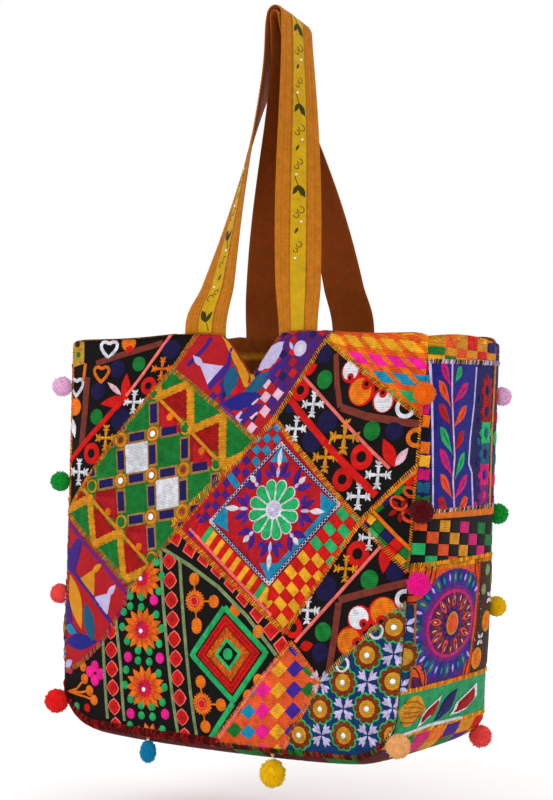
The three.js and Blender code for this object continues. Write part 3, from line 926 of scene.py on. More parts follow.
# Front layout: each patch's outline, how high it lies on the others, and its ground.
LAYOUT = {
    "vines": ((-205, 300, -140, 230, -60, 170, 90, 262, 90, 290, -8, 402, -205, 402), 0, "black"),
    "hearts": ((-205, -20, -52, -20, -83, 29, -205, 172), 0, "black"),
    "weave_top": ((104, -20, 205, -20, 205, 74, 92, 2), 0, "orange_red"),
    "paisley": ((154, 170, 205, 208, 205, 250, 122, 322, 86, 288, 78, 270), 0, "black"),
    "tents_top": ((-52, -20, 104, -20, 92, 2, 45, 78, 28, 98, -83, 29), 1, "crimson"),
    "tents_left": (
        (-205, 174, -112, 244, -118, 262, -132, 280, -150, 302, -178, 324, -205, 334), 1, "crimson"),
    "mirrors": ((205, 242, 205, 402, 70, 402, 122, 318, 156, 285), 1, "slate"),
    "strips": ((154, 170, 205, 118, 205, 214), 1, "black"),
    "lattice": ((-83, 29, 28, 98, -108, 243, -205, 174), 2, "green"),
    "crosses": ((92, 2, 205, 74, 205, 118, 154, 170, 45, 77), 2, "black"),
    "weave_low": ((88, 284, 122, 318, 70, 402, -16, 402), 2, "orange_red"),
    "mandala": ((28, 98, 45, 77, 154, 170, 81, 275, -60, 179), 3, "crimson"),
}

# Motifs: kind, colour, then for each motif the numbers that Patch's method of that kind takes.
HEARTS = [
    ("band", "rust", (6, -172, 22, -140, 13, -98, 2), (8, -183, 36, -184, 70, -187, 104)),
    ("disc", "midnight", (-146, 28, 9), (-168, 50, 9), (-88, 9, 10), (-137, 79, 12)),
    ("disc", "green", (-122, 23, 7.5), (-168, 76, 8)),
    ("cord", "coral", (3.4, -88, -9, -118, 36, -133, 55)),
    ("cord", "red", (6, -133, 56, -160, 82, -205, 122)),
    ("petal", "red", (-134, 60, -135, 32, 11), (-128, 58, -164, 63, 12)),
    ("petal", "pale_pink", (-139, 54, -157, 41, 6)), ("ring", "red", (-108, 45, 9), (-172, 113, 11)),
    ("cross", "white", (-123, 61, 25), (-189, 132, 28)), ("cross", "gold", (-154, 97, 27)),
    ("cross", "orange", (-95, 28, 24)), ("heart", "white", (-158, 7, 19)),
    ("heart", "orange", (-165, 32, 18)), ("heart", "white", (-198, 45, 20)),
    ("disc", "orange", (-136, 2, 8)), ("petal", "red", (-136, 14, -133, 0, 9)),
    ("disc", "orange", (-199, 66, 9)), ("petal", "white", (-203, 78, -198, 98, 8)),
    ("shape", "brass", (-205, -12, -189, -12, -188, 22, -205, 26)), ("disc", "umber", (-198, 2, 4)),
    ("disc", "green", (-196, 13, 3.5)), ("disc", "umber", (-192, -3, 3)),
    ("band", "orange", (4, -186, 22, -188, 40)),
]
CROSSES = [
    ("band", "rust", (6, 106, 16, 112, 44, 119, 66), (7, 120, 66, 150, 74, 205, 81)),
    ("disc", "midnight", (92, 16, 9), (107, 79, 11), (92, 97, 11), (180, 87, 9), (62, 66, 6)),
    ("petal", "red", (68, 33, 86, 26, 13)), ("cord", "coral", (3.4, 68, 34, 124, 78, 179, 121)),
    ("cord", "red", (7.5, 60, 59, 112, 103, 168, 146)),
    ("ring", "red", (71, 50, 10), (149, 111, 12), (131, 132, 11)),
    ("disc", "green", (97, 40, 9), (157, 87, 9)),
    ("cross", "white", (88, 63, 26), (72, 86, 25), (168, 127, 27), (150, 147, 26)),
    ("cross", "gold", (128, 93, 34), (110, 112, 30)), ("paisley", "white", (126, 32, 9.5, 80)),
    ("paisley", "orange", (140, 51, 13, -45)), ("paisley", "white", (166, 60, 10.5, -95)),
    ("loop", "white", (4, 189, 66, 8)), ("loop", "orange", (4, 201, 93, 7)),
    ("petal", "red", (184, 120, 170, 94, 13)), ("petal", "pale_pink", (184, 119, 195, 102, 8)),
]
PAISLEY = [
    ("band", "rust", (7, 205, 223, 172, 232, 138, 242), (7, 138, 244, 135, 280, 131, 312)),
    ("disc", "midnight", (123, 232, 12), (192, 214, 9), (121, 291, 9)),
    ("cord", "coral", (3.4, 179, 189, 140, 233, 93, 283)), ("ring", "red", (154, 199, 12), (90, 270, 10)),
    ("cross", "white", (165, 184, 24), (105, 253, 27)), ("cross", "gold", (143, 213, 26)),
    ("petal", "red", (182, 189, 181, 216, 12)), ("disc", "green", (168, 222, 9), (123, 272, 9)),
    ("paisley", "white", (160, 257, 11)), ("paisley", "orange", (184, 250, 13, 95), (152, 279, 13, 5)),
    ("petal", "red", (98, 288, 113, 284, 10)), ("loop", "sage", (4, 178, 272, 7)),
    ("loop", "white", (4, 203, 238, 7)),
]
TENTS_TOP = [
    ("area", "plum", (24, -20, 104, -20, 92, 2, 45, 78, 30, 74, 38, 50, 44, 26)),
    ("area", "crimson", (-52, -20, -18, -20, -30, 30, -44, 44, -70, 22)),
    ("band", "purple", (5, -44, -2, -50, 8, -66, 25), (4, -21, 8, -22, 60)),
    ("shape", "purple", (-24, 24, -18, 30, -36, 50, -40, 44)),
    ("shape", "lilac", (-54, 22, -25, 26, -39, 45)), ("petal", "lilac", (-48, 26, -62, 15, 7)),
    ("petal", "teal", (-16, 24, -15, 58, 15), (-1, 53, 38, 30, 17)),
    ("petal", "blue", (-22, 66, 27, 54, 18)), ("petal", "lilac", (11, 31, 43, 2, 21)),
    ("petal", "purple", (22, 44, 52, 14, 8)), ("shape", "gold", (-34, -6, -20, -10, 10, 38, 1, 50)),
    ("petal", "purple", (0, 78, 30, 62, 12)), ("petal", "violet", (-24, 62, 4, 84, 9)),
    ("disc", "lilac", (62, 10, 8)), ("disc", "white", (62, 10, 4.5, 1.2)),
    ("petal", "lilac", (54, 12, 48, 3, 4)),
]
TENTS_LEFT = [
    ("band", "violet", (4.5, -205, 183, -150, 222, -114, 251)),
    ("shape", "purple", (-205, 214, -190, 200, -178, 196, -184, 218, -192, 236, -205, 232)),
    ("band", "purple", (5, -200, 228, -166, 252, -136, 279)),
    ("shape", "gold", (-182, 239, -160, 228, -160, 258)), ("petal", "gold", (-164, 232, -150, 222, 7)),
    ("shape", "lilac", (-164, 257, -136, 250, -141, 275)), ("petal", "lilac", (-142, 254, -130, 242, 7)),
    ("petal", "gold", (-199, 236, -178, 290, 20)), ("band", "violet", (3, -205, 276, -172, 304)),
    ("petal", "teal", (-173, 262, -160, 304, 16)), ("petal", "blue", (-204, 304, -154, 300, 17)),
    ("petal", "turquoise", (-205, 288, -184, 294, 10)),
    ("shape", "purple", (-205, 262, -198, 262, -192, 284, -205, 290)),
    ("petal", "lilac", (-204, 330, -192, 322, 9)),
]


def sew_tents_top(patch):
    patch.sew(TENTS_TOP)
    rows = ["".join("vcrnvc"[(2 * i + 5 * j) % 6] if (i + j) % 2 else "." for i in range(16))
            for j in range(9)]
    patch.checks((96, -14), (-4.6, 6.6), (-6.6, -3.8), rows, 0.98, 0.4)
    patch.checks((52, 52), (-6.2, 8.2), (-8.4, -5.4), ["x.x.x", ".x.x.x", "x.x.w"], 0.95, 0.55)
    patch.checks((38, 94), (6, -6), (5, 5), ["t.c.t", ".tvtc"], 0.9)


# The lattice's crossings: one of them, the steps to the next, and those that hold a mirror.
LATTICE_NODE = np.array([-91.5, 133.0])
LATTICE_RIGHT = np.array([38.5, -6.3])
LATTICE_DOWN = np.array([4.0, 40.5])
MIRROR_NODES = {(0, 0), (0, -1), (-1, 0), (0, 1)}


def lattice_mirrors():
    return [(*(LATTICE_NODE + LATTICE_RIGHT * i + LATTICE_DOWN * j), 3.4) for i, j in sorted(MIRROR_NODES)]


def sew_lattice(patch):
    node, right, down = LATTICE_NODE, LATTICE_RIGHT, LATTICE_DOWN
    tilt = math.degrees(math.atan2(right[1], right[0]))
    cells = {
        "white": [(-1, -1), (0, 0)],
        "green": [(0, -1), (-1, 0), (1, 0), (-2, -1), (-1, -2)],
        "deep_red": [(0, -2), (1, -1), (-2, 0), (-1, 1)],
    }
    for colour, places in cells.items():
        for i, j in places:
            patch.box(colour, *(node + right * (i + 0.5) + down * (j + 0.5)), 28, 29, tilt, 0.4)
    middle = np.array([-89.0, 139.5])
    start, step = np.array([-92.5, 58.5]), np.array([43.5, 32.6])
    edge = -left_of(unit(step))
    reach = (start - middle) @ edge
    for flip in (1, -1):
        def turned(*places):
            return (middle + (np.array(places, float) - middle) * flip).ravel()

        for k in range(-2, 4):
            foot = start + step * k
            patch.shape("deep_red", *turned(foot + (2, -2), foot + (31, -14), foot + (38, 23)), high=0.6)
            patch.shape("crimson", *turned(foot + (3, 7), foot + (37, 33), foot + (6, 32)), high=0.8)
            patch.disc("orange", *turned(foot + (15, 17.5)), 4.2, 1.2)
            scallops = turned(foot + (0, -3), foot + (33, -16), foot + step - (2, 3))
            patch.band("gold", 7, *scallops, high=0.9)
            for point in densify(pairs(scallops), 6.2, closed=False):
                patch.disc("gold", *point, 4.8, 1.1)
        patch.band("gold", 4, *turned(start - step * 2, start + step * 3.4), high=1.2)

    def off_middle(place):
        return abs((place - middle) @ edge)

    for i in range(-3, 4):
        for j in range(-3, 4):
            cross = node + right * i + down * j
            for place, wide, tall in ((cross + right / 2, 20, 9), (cross + down / 2, 9, 21)):
                if off_middle(place) < reach - 4:
                    patch.box("tan", *place, wide + 3, tall + 3, tilt, 0.55)
                    patch.box("navy", *place, wide, tall, tilt, 0.85)
            if reach - 16 < off_middle(cross) < reach + 2:
                patch.disc("gold", *cross, 7.0, 0.75)
                patch.disc("green", *cross, 5.8, 1.1)
            elif off_middle(cross) < reach:
                patch.disc("ochre", *cross, 8.5, 0.75)
                patch.loop("gold", 3.4, *cross, 6, high=1.2)
                patch.disc("white" if (i, j) in MIRROR_NODES else "rust", *cross, 3.6, 0.95)


def sew_mandala(patch):
    top, right, low, left = (np.array(p, float) for p in ((58, 104), (126, 155), (60, 227), (-9.5, 175)))
    centre = np.array([59.0, 162.0])
    yellow_red = ["".join("r" if (i + j) % 2 else "ye"[i > 7] for i in range(16)) for j in range(4)]
    # Strip of checks: from, to, cell along and out, rows.
    strips = [
        (top, left, 7.4, 8.4, ["tctctctcvctcvcvcvvcv", "ctctctcvcvtvcvcvcvcc", "tctctcvctcvctvcvcvvc"]),
        (left, low, 6.4, 16.5, ["rrre" + "yr" * 6 + "eyr"]),
        (low, right, 9.4, 12.8, yellow_red),
    ]
    for a, b, along, out, rows in strips:
        way = unit(b - a)
        side = left_of(way)
        side = side if (a - centre) @ side > 0 else -side
        patch.checks(a + side * 6 - way * 20, way * along, side * out, rows, 0.95)
    way = unit(low - left)
    side = left_of(way)
    patch.band("coral", 3, *(left + side * 23.5 - way * 24), *(low + side * 23.5 + way * 24), high=1.0)
    field = np.array([top, right, low, left])
    patch.blob("crimson", densify(field, 9), 0.55, 0.05)
    inward = (centre - (right + low) / 2) * 0.045
    patch.band("turquoise", 5, *(right + inward), *(low + inward), high=0.7)
    for corner in field:
        one, two = centre - corner, left_of(centre - corner)
        patch.shape("turquoise", *(corner - one * 0.02), *(corner + one * 0.24 - two * 0.19),
                    *(corner + one * 0.24 + two * 0.19), high=0.75)
    for i in range(8):
        way = heading(45 * i)
        side = left_of(way)
        start, tip = centre + way * 29, centre + way * (58 if i % 2 == 0 else 45)
        for hand in (-1, 1):
            leaf = start + way * 17 + side * hand * 11
            patch.petal("purple", *(start + side * hand * 2), *leaf, 7.5, 0.8)
            if i % 2 == 0:
                leaf = start + way * 7 + side * hand * 16
                patch.petal("indigo", *(start + side * hand * 5), *leaf, 5.5, 0.75)
        patch.petal("lilac", *start, *(start + (tip - start) * 0.45), 4, 1.1)
        patch.petal("white", *(start + (tip - start) * 0.35), *tip, 6, 1.2)
    petals = 12
    # Petals: colour, near and far end, half width at each, height.
    rounds = (("white", 5, 29.6, 2, 6.4, 1.1), ("mint", 7.5, 28.8, 1.6, 5.7, 1.5))
    for colour, near, far, narrow, wide, high in rounds:
        for i in range(petals):
            turn = 2 * math.pi * (i + 0.5) / petals
            patch.blob(colour, wedge(centre, turn, near, far, narrow, wide), high, 0.25, turn)
    patch.disc("lilac", *centre, 6.5, 1.7)
    patch.disc("white", *centre, 2.4, 2.2)
    for a, b in edges(field):
        way = unit(b - a)
        out = -left_of(way)
        border = np.array([a + out * 0.6, b + out * 0.6, b + out * 5, a + out * 5])
        patch.blob("navy", densify(border, 9), 0.6, 0.02)
        patch.chain("white", a + out * 2.8 - way * 4, b + out * 2.8 + way * 4, 4.2)


def sew_vines(patch):
    for u, v, lean, count in ((-61.5, 215, 2.4, 10), (-136, 288, 1.0, 6)):
        for k in range(count):
            place = u + lean * k, v + 18.8 * k
            patch.blob("coral", cushion(*place, 8.8, 8.9), 0.4, 0.05)
            patch.blob("red", cushion(*place, 7.9, 8.0), 0.9, 0.35)
            patch.disc("crimson", *place, 2.4, 1.35)
    arc = [(-55, 192), (-36, 202), (-17, 210), (0, 220), (17, 232), (32, 245), (49, 259), (65, 274),
           (78, 288)]
    for k, (u, v) in enumerate(arc):
        turn = 25 + 3 * k
        patch.box("coral", u, v, 14.5, 14.5, turn, 0.4)
        patch.box("red", u, v, 12.5, 12.5, turn, 0.85)
        patch.disc("crimson", u, v, 2.6, 1.3)
    stems = [
        (-82, 199, -35, 218.5, 0, 236.5, 36, 262.5, 72, 297), (-73, 206, -66, 262, -58, 318, -49, 381),
        (-48, 214, -41, 268, -33, 325, -25, 382), (-129, 277, -122, 322, -119, 376),
        (-147, 293, -144, 335, -142, 376),
    ]
    for stem in stems:
        patch.band("sage", 4, *stem, high=0.9)
    # Flowers with green dots at both sides, then dots in fours between the flowers.
    for u, v, r in ((-95, 233, 25), (-93, 284, 26.5), (-89, 341, 26.5), (-86, 396, 25)):
        patch.star("orange", u, v, r, 14, 8, 0.2, 0, 0.8, 0.86)
        patch.star("orange_red", u, v, r * 0.72, 14, 5, 0.2, 13, 1.15, 0.88)
        patch.disc("magenta", u, v, r * 0.36, 1.4)
        patch.star("red", u, v, r * 0.38, 12, 3.0, 0.3, 0, 1.7)
        for du, dv in ((-25.5, -16), (-27, -1), (-20, 12.5), (17.5, -16), (25, -3), (22, 12)):
            patch.disc("mint", u + du, v + dv, 4.2, 1.2)
        if v < 380:
            patch.shine.append((u - 1, v + 1, 2.4))
    for u, v in ((-102.6, 257), (-91, 309.5), (-88, 363.5)):
        for du, dv in ((-7.4, -5), (7.4, -5), (-7.4, 5), (7.4, 5)):
            patch.disc("mint", u + du, v + dv, 4.2, 1.2)
    for u, v in ((-79, 254), (-112, 312), (-70, 310), (-110, 368), (-64, 364.5)):
        patch.disc("hot_pink", u, v, 5.4, 1.2)
    # Sprigs: discs joined to a rosette by short stems.
    for u, v in ((-27, 252), (-16, 350)):
        ends = ((-2, -21), (3, 22), (23, -1))
        for du, dv in ends:
            patch.band("orange", 1.8, u, v, u + du, v + dv)
            patch.disc("orange", u + du, v + dv, 6.3)
        patch.star("orange", u, v, 12.5, 20, 4.2, 0.3, 0, 0.8, 0.92)
        patch.disc("red", u, v, 6.8, 1.1)
        patch.loop("coral", 1.6, u, v, 4.4, high=1.5)
    for u, v in ((22, 258), (-24, 277), (50, 276), (52, 322), (40, 338)):
        patch.disc("orange", u, v, 6.3)
    corners = np.array([(9, 254), (62, 295), (22, 346), (-31, 304)], float)
    centre = corners.mean(0)

    def frame_at(scale):
        return centre + (corners - centre) * scale

    for scale, colour, lift in ((0.82, "deep_red", 0.4), (0.56, "orange", 0.55), (0.28, "black", 0.9)):
        patch.blob(colour, densify(frame_at(scale), 9), lift, 0.02)
    for scale, colour, width in ((0.96, "mint", 6), (0.78, "red", 3), (0.66, "red", 3), (0.3, "mint", 4.5)):
        patch.band(colour, width, *np.concatenate([frame_at(scale), frame_at(scale)[:1]]).ravel(), high=1.1)
    for near in (0.36, 0.43, 0.5):
        inside, outside = frame_at(near), frame_at(near + 0.06)
        for (a, b), (c, d) in zip(edges(inside), edges(outside)):
            for k in np.linspace(0.02, 0.98, 17):
                tint = rng.choice(["orange", "ochre", "orange_red"])
                low = patch.low + 0.5
                patch.sewing.stitch(mix(a, b, k), mix(c, d, k), 1.6, tint, low, low + 0.7)
    for a, b in edges(frame_at(0.72)):
        patch.chain("red", a, b, 5.0)
    patch.disc("mint", *centre, 6.2, 1.5)
    patch.band("mint", 6, 22, 346, -10, 386, high=0.9)
    for u, v in ((-150, 332), (-158, 325), (-158, 339), (-165, 331)):
        patch.disc("hot_pink", u, v, 5.8, 0.9)
    for u, v, bend in ((-173, 339, 350), (-166, 350, 353), (-160, 359, 357)):
        patch.disc("orange", u, v, 5.4)
        patch.band("orange", 2.4, u, v, u - 12, bend, -198, 354)
    patch.disc("orange", -175, 327, 5)
    dots = (("orange", -190, 316), ("orange", -181, 312), ("magenta", -196, 332), ("red", -170, 368),
            ("mint", -186, 368))
    for colour, u, v in dots:
        patch.disc(colour, u, v, 4.4)


def sew_weave_top(patch):
    rows = [pair * 9 for pair in ("yo", "fo", "oy", "fo", "po", "of", "ot", "fo", "eo", "fo")]
    patch.checks((41.6, -22), (10.8, 1.0), (9.6, 8.4), rows, 0.97)
    raised = [row.replace("o", ".").replace("f", ".") for row in rows]
    patch.checks((41.6, -22), (10.8, 1.0), (9.6, 8.4), raised, 1.45, 0.6)
    patch.band("coral", 3.4, 94, 6, 205, 76, high=0.9)


def sew_weave_low(patch):
    along, rise = np.array([5.5, -5.2]), np.array([4.5, 3.4])
    # Column: colour, u, first v, blocks.
    columns = [
        ("green", 24, 352, 3), ("turquoise", 41, 333, 4), ("hot_pink", 59, 311, 5), ("yellow", 77, 290, 6),
        ("indigo", 95, 288, 6), ("green", 112, 306, 3),
    ]
    for colour, u, v, count in columns:
        for k in range(count):
            for tint, du, dv in ((colour, 0, 0), ("coral_red", 8.8, 9.8)):
                place = np.array([u - 0.6 * k + du, v + 19.6 * k + dv])
                block = np.array([-along - rise, along - rise, along + rise, rise - along]) + place
                patch.blob(tint, densify(block, 7), 0.5, 0.15)
    patch.band("coral", 3.4, 86, 286, -14, 402, high=0.9)


def sew_mirrors(patch):
    patch.loose = True
    flower, step, turn = np.array([171.7, 290.0]), np.array([-23.8, 26.4]), np.array([26.8, 22.3])
    for i in range(-2, 6):
        for j in range(-3, 4):
            c = flower + step * i + turn * j
            if not patch.holds(c) or c[0] > 203 or c[1] > 384:
                continue
            patch.mirror_flower(*c)
            patch.shine.append((*c, 2.7))
    for i in range(-3, 6):
        for j in range(-3, 4):
            c = flower + step * (i + 0.5) + turn * (j + 0.5)
            if patch.holds(c) and c[0] < 201 and c[1] < 384:
                patch.star("lilac", *c, 13.5, 4, 4.6, 0.05, 45, 0.8)
                for a in range(4):
                    w = heading(45 + 90 * a)
                    s = left_of(w)
                    for hand in (-1, 1):
                        patch.petal("lilac", *(c + w * 4.5), *(c + w * 11.5 + s * hand * 4.6), 3.6, 0.7)
    for u, v in ((146, 300), (179, 268)):
        patch.loop("white", 2.8, u, v, 6.5, high=1.5)
    patch.shape("crimson", 178, 402, 205, 372, 205, 402, high=1.0)
    patch.petal("hot_pink", 186, 396, 204, 380, 9, 1.4)


def sew_strips(patch):
    patch.checks((146, 160), (10.2, -8.6), (5.6, 6.6), ["gnrgtrgnr", "rgngrgtge"], 0.93)
    patch.checks((152, 152), (9.4, 7.6), (-5.6, 6.4), ["gygnrgngy", "rnegrdgnr"], 0.93)
    patch.band("orange", 3.5, 166, 158, 205, 122, high=0.9)
    patch.band("orange", 3.5, 166, 160, 205, 194, high=0.9)
    for u, v, r in ((190, 152, 8), (200, 142, 6), (200, 164, 6)):
        patch.loop("orange_red", 3, u, v, r, 0.6, 30)
    patch.star("deep_red", 192, 158, 12, 5, 5, 0.2, 10, 0.7)


# Threads of each patch's seam.
ZIGZAG = {
    "hearts": ("gold", "orange"), "tents_top": ("gold", "ochre", "tan"),
    "tents_left": ("ochre", "violet", "tan"), "mirrors": ("gold", "brass", "sage"),
    "strips": ("gold", "orange"), "lattice": ("gold", "tan", "ochre", "orange"),
    "crosses": ("gold", "orange", "yellow"), "weave_low": ("coral", "orange", "gold"),
    "mandala": ("orange", "gold", "yellow"),
}
SATIN_PATCHES = ("tents_top", "tents_left")


def sew_mirror_discs(surface, name, spots, lift):
    sewing = Sewing(surface)
    for u, v, r in spots:
        sewing.blob(disc(u, v, r, 14), "white", lift, lift + 0.7, 0.15)
    return sewing.build(name, SHISHA)


def grid_points(a, b):
    return np.stack(np.meshgrid(a, b, indexing="ij"), -1).reshape(-1, 2)


# Rim colour from this share of the width on, and how far in it shows.
PANEL_RIM = [(-1, "black"), (-0.27, "crimson"), (0.1, "plum"), (0.5, "orange_red")]
GUSSET_RIM = [(-1, "orange"), (-0.4, "orange_red"), (0.3, "gold"), (0.7, "navy")]
RIM_SHOWS = 3.0


def backing_piece(surface, name, shares, rim_colours):
    """The cloth behind the patches, turned in over the rim, where it shows the patches' colours."""
    turned = np.concatenate([np.arange(0, 6, 0.6), [6.5, 7.5, 8.5, 9.7, RIM_OVER]])
    rises = np.concatenate([np.linspace(0, 1, 60)[:-1], 1 + turned / HEIGHT])
    grid = grid_points(shares, rises)
    points = surface.at(grid[:, 0], grid[:, 1], np.interp(grid[:, 1], [0.985, 1.0], [-1.0, 0.0]))
    tints = np.tile(linear("umber"), (len(grid), 1))
    for start, colour in rim_colours:
        tints[(grid[:, 1] > 0.99) & (grid[:, 0] >= start)] = linear(colour)
    tints[grid[:, 1] > 1 + RIM_SHOWS / HEIGHT] = linear("lining")
    faces = grid_faces(len(shares), len(rises), turned=True)
    return mesh_piece(name, points * MM, faces, tints, LINING, grid * [0.2, 0.38])


def bottom_line(surface, offset, reach):
    us = np.linspace(-reach, reach, 220)
    low = level_z(us / PANEL_REACH, np.zeros_like(us), surface.mouth)
    return np.stack([us, -DROP - low - offset], -1)


# Threads along the lower seam, and where the braid at the left ends.
BRAID_UNTIL = 4
BRAID_THREADS = ["maroon", "maroon", "deep_red"]
TRIM_THREADS = ["green", "maroon", "umber", "deep_red"]


def sew_trim(surface, name):
    """Slanted stitches along the lower seam: two rows as a braid, then a single row."""
    trim = Sewing(surface)
    for offset, slant in ((2.5, 1), (6.5, -1)):
        reach = np.array([1.3 * slant, 2.3])
        for place in bottom_line(surface, offset, 204)[:-1]:
            braid = place[0] < BRAID_UNTIL
            if braid or slant > 0:
                tint = rng.choice(BRAID_THREADS if braid else TRIM_THREADS)
                trim.stitch(place - reach, place + reach, 2.0, tint, 0.9, 2.6)
    return trim.build(name, THREAD)


TABLES = {"hearts": HEARTS, "crosses": CROSSES, "paisley": PAISLEY, "tents_left": TENTS_LEFT}
SEWERS = {
    "vines": sew_vines, "weave_top": sew_weave_top, "tents_top": sew_tents_top, "mirrors": sew_mirrors,
    "strips": sew_strips, "lattice": sew_lattice, "weave_low": sew_weave_low, "mandala": sew_mandala,
}


def panel_pieces(side):
    surface = Panel(side)
    cloth = backing_piece(surface, f"{side}_cloth", np.linspace(-1, 1, 101), PANEL_RIM)
    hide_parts(f"{side}_panel")
    shine = lattice_mirrors()
    for name, (outline, level, ground) in LAYOUT.items():
        covers = [other for other, height, _ in LAYOUT.values() if height > level]
        sewing = Sewing(surface)
        patch = Patch(sewing, outline, level, ground, covers)
        if name in TABLES:
            patch.sew(TABLES[name])
        else:
            SEWERS[name](patch)
        if name in ZIGZAG:
            patch.seam(ZIGZAG[name])
        shine += patch.shine
        material = SATIN if name in SATIN_PATCHES else THREAD
        sewing.build(f"{side}_{name}", material)
    sew_mirror_discs(surface, f"{side}_mirror_discs", shine, MIRROR_LIFT)
    sew_trim(surface, f"{side}_trim")


# Gusset layout: q across from the front seam, v down.
LEAF_INNER = {"magenta": "violet", "orange_red": "red", "crimson": "deep_red", "mint": "green"}


def sew_leaves(patch):
    patch.sew([
        ("area", "blue", (-78, 24, 10, 24, 6, 60, 0, 100, 12, 158, -64, 158, -72, 100)),
        ("band", "lilac", (2.6, -80, 24, -75, 60, -70, 100, -63, 158),
         (3, 10, 28, 7, 62, 1, 95, 0, 118, 8, 127, 14, 158)),
        ("band", "pale_pink", (3, -45, 24, -42, 55, -36, 84, -30, 112, -31, 132, -25, 158)),
    ])
    # Leaf: colour, foot q and v, tip q and v.
    leaves = [
        ("mint", -38, 44, -24, 28), ("magenta", -42, 64, -7, 43), ("orange_red", -38, 86, -9, 64),
        ("crimson", -33, 108, -13, 87), ("mint", -28, 133, -10, 107), ("magenta", -29, 153, -1, 128),
        ("orange_red", -20, 162, 2, 150), ("magenta", -45, 48, -66, 24), ("orange_red", -43, 66, -68, 41),
        ("crimson", -40, 84, -66, 62), ("mint", -34, 110, -61, 83), ("magenta", -31, 131, -59, 103),
        ("orange_red", -29, 151, -55, 126), ("crimson", -36, 162, -56, 148),
    ]
    for colour, u0, v0, u1, v1 in leaves:
        grain = math.atan2(v1 - v0, u1 - u0)
        patch.blob(colour, petal_outline((u0, v0), (u1, v1), 11.5, 9, 1.7), 0.75, 0.25, grain)
        foot, tip = ((mix(u0, u1, k), mix(v0, v1, k)) for k in (0.3, 0.86))
        inner = petal_outline(foot, tip, 2.2, 7, 1.6)
        patch.blob(LEAF_INNER[colour], inner, 1.0, 0.1, grain)
    blocks = ["crimson", "turquoise", "purple", "magenta", "orange", "black", "orange", "yellow",
              "magenta", "teal", "green"]
    for k, colour in enumerate(blocks):
        patch.box(colour, -88 + k * 1.2, 30 + k * 12, 15, 11, 4, 0.5)
    flowers = ((50, "deep_red", "navy"), (70, "deep_red", "navy"), (90, "mint", "teal"),
               (110, "teal", "navy"), (130, "magenta", "purple"), (150, "violet", "magenta"))
    for v, colour, core in flowers:
        patch.star(colour, 38, v, 16, 8, 9, 0.2, 0, 0.6)
        patch.disc(core, 38, v, 5.5, 1.0)
        patch.disc(colour, 66, v + 6, 7, 0.6)
        patch.disc(core, 20, v + 8, 3.5, 0.6)
    patch.band("gold", 3, 58, 24, 54, 90, 56, 160, high=0.9)


def sew_ring(patch):
    centre = np.array([-15.0, 266.0])
    wide, tall = 1.18, 0.86
    patch.area("orange_red", -90, 208, 90, 208, 90, 222, -90, 222)
    for q, v in ((-80, 212), (56, 212), (-80, 322), (52, 322)):
        patch.disc("orange_red", q, v, 33, 0.4)
        for r in (30, 23, 14):
            patch.loop("maroon", 2.0, q, v, r, high=0.7)
    patch.blob("purple", disc(*centre, 61 * wide, 44, tall / wide), 0.45, 0.02)
    rays = (("teal", "sage"), ("slate", "turquoise"), ("indigo", "lilac"))
    for k in range(36):
        way = heading(10 * k) * [wide, tall]
        outer, inner = rays[k % 3]
        patch.petal(outer, *(centre + way * 41), *(centre + way * 60.5), 10.5, 0.8)
        patch.petal(inner, *(centre + way * 46), *(centre + way * 56), 3.4, 1.1)
    for colour, r, high in (("violet", 44.5, 0.85), ("magenta", 42, 1.0), ("plum", 38, 1.15)):
        patch.blob(colour, disc(*centre, r * wide, 40, tall / wide), high, 0.02)
    for k in range(18):
        way = heading(20 * k + 10) * [wide, tall]
        patch.petal("orange_red" if k % 2 else "rust", *(centre + way * 15), *(centre + way * 36), 8, 1.5)
        patch.petal("plum", *(centre + way * 20), *(centre + way * 34), 4.2, 1.85)
        patch.petal("peach", *(centre + way * 24), *(centre + way * 32), 2.2, 2.1)
    patch.disc("navy", *centre, 17, 1.5)
    patch.star("violet", *centre, 17.5, 12, 4, 0.7, 0, 1.9)
    patch.disc("gold", *centre, 12.5, 1.9)
    patch.disc("orange_red", *centre, 9.8, 2.3)


def sew_ring_sides(patch):
    """The dark strip at the back of the ring band, and the front's mirrored cloth at its front edge."""
    patch.shape("umber", 38, 212, 90, 212, 90, 322, 30, 322, high=1.3)
    patch.band("orange_red", 6, 36, 214, 34, 270, 28, 320, high=1.6)
    patch.band("maroon", 1.6, 36, 214, 34, 270, 28, 320, high=1.9)
    for q, v in ((60, 272), (43, 306)):
        patch.disc("gold", q, v, 11.5, 1.8)
        patch.disc("orange", q, v, 8.5, 2.5)
    for q, v in ((64, 249), (47, 288)):
        patch.star("white", q, v, 8, 4, 3.4, 0.1, 45, 1.9)
    for q, v in ((56, 222), (70, 232), (48, 240)):
        patch.disc("sage", q, v, 6, 1.7)
    patch.shape("slate", -90, 238, -76, 242, -73, 282, -74, 322, -90, 322, high=1.3)
    patch.mirror_flower(-82, 290, 1.3)
    for v in (262, 317):
        patch.star("lilac", -82, v, 10, 4, 4.6, 0.05, 45, 2.0)
    patch.band("ochre", 2.4, -76, 242, -73, 282, -74, 322, high=1.9)


def sew_ring_band(patch):
    sew_ring(patch)
    sew_ring_sides(patch)


def sew_shells(patch):
    patch.petal("gold", -82, 340, -38, 344, 29, 1.3)
    for k in range(5):
        patch.band("ochre", 1.4, -76, 332 + 4.5 * k, -58, 333 + 5 * k, -44, 340 + 2 * k, high=1.9)
    for corners, scale in (((-44, 360, -37, 343, -16, 333, -21, 351), 0.72),
                           ((12, 358, 16, 345, 52, 331, 57, 344, 40, 355), 0.76)):
        edge = pairs(corners)
        inside = edge.mean(0) + (edge - edge.mean(0)) * scale
        patch.area("white", *corners, lift=0.6)
        patch.blob("deep_red", densify(inside, 5), 2.2, 0.1)
    patch.petal("navy", -15, 359, 13, 331, 20, 1.1)
    patch.band("white", 3, -82, 364, -20, 361, 30, 363, 82, 368, high=0.9)


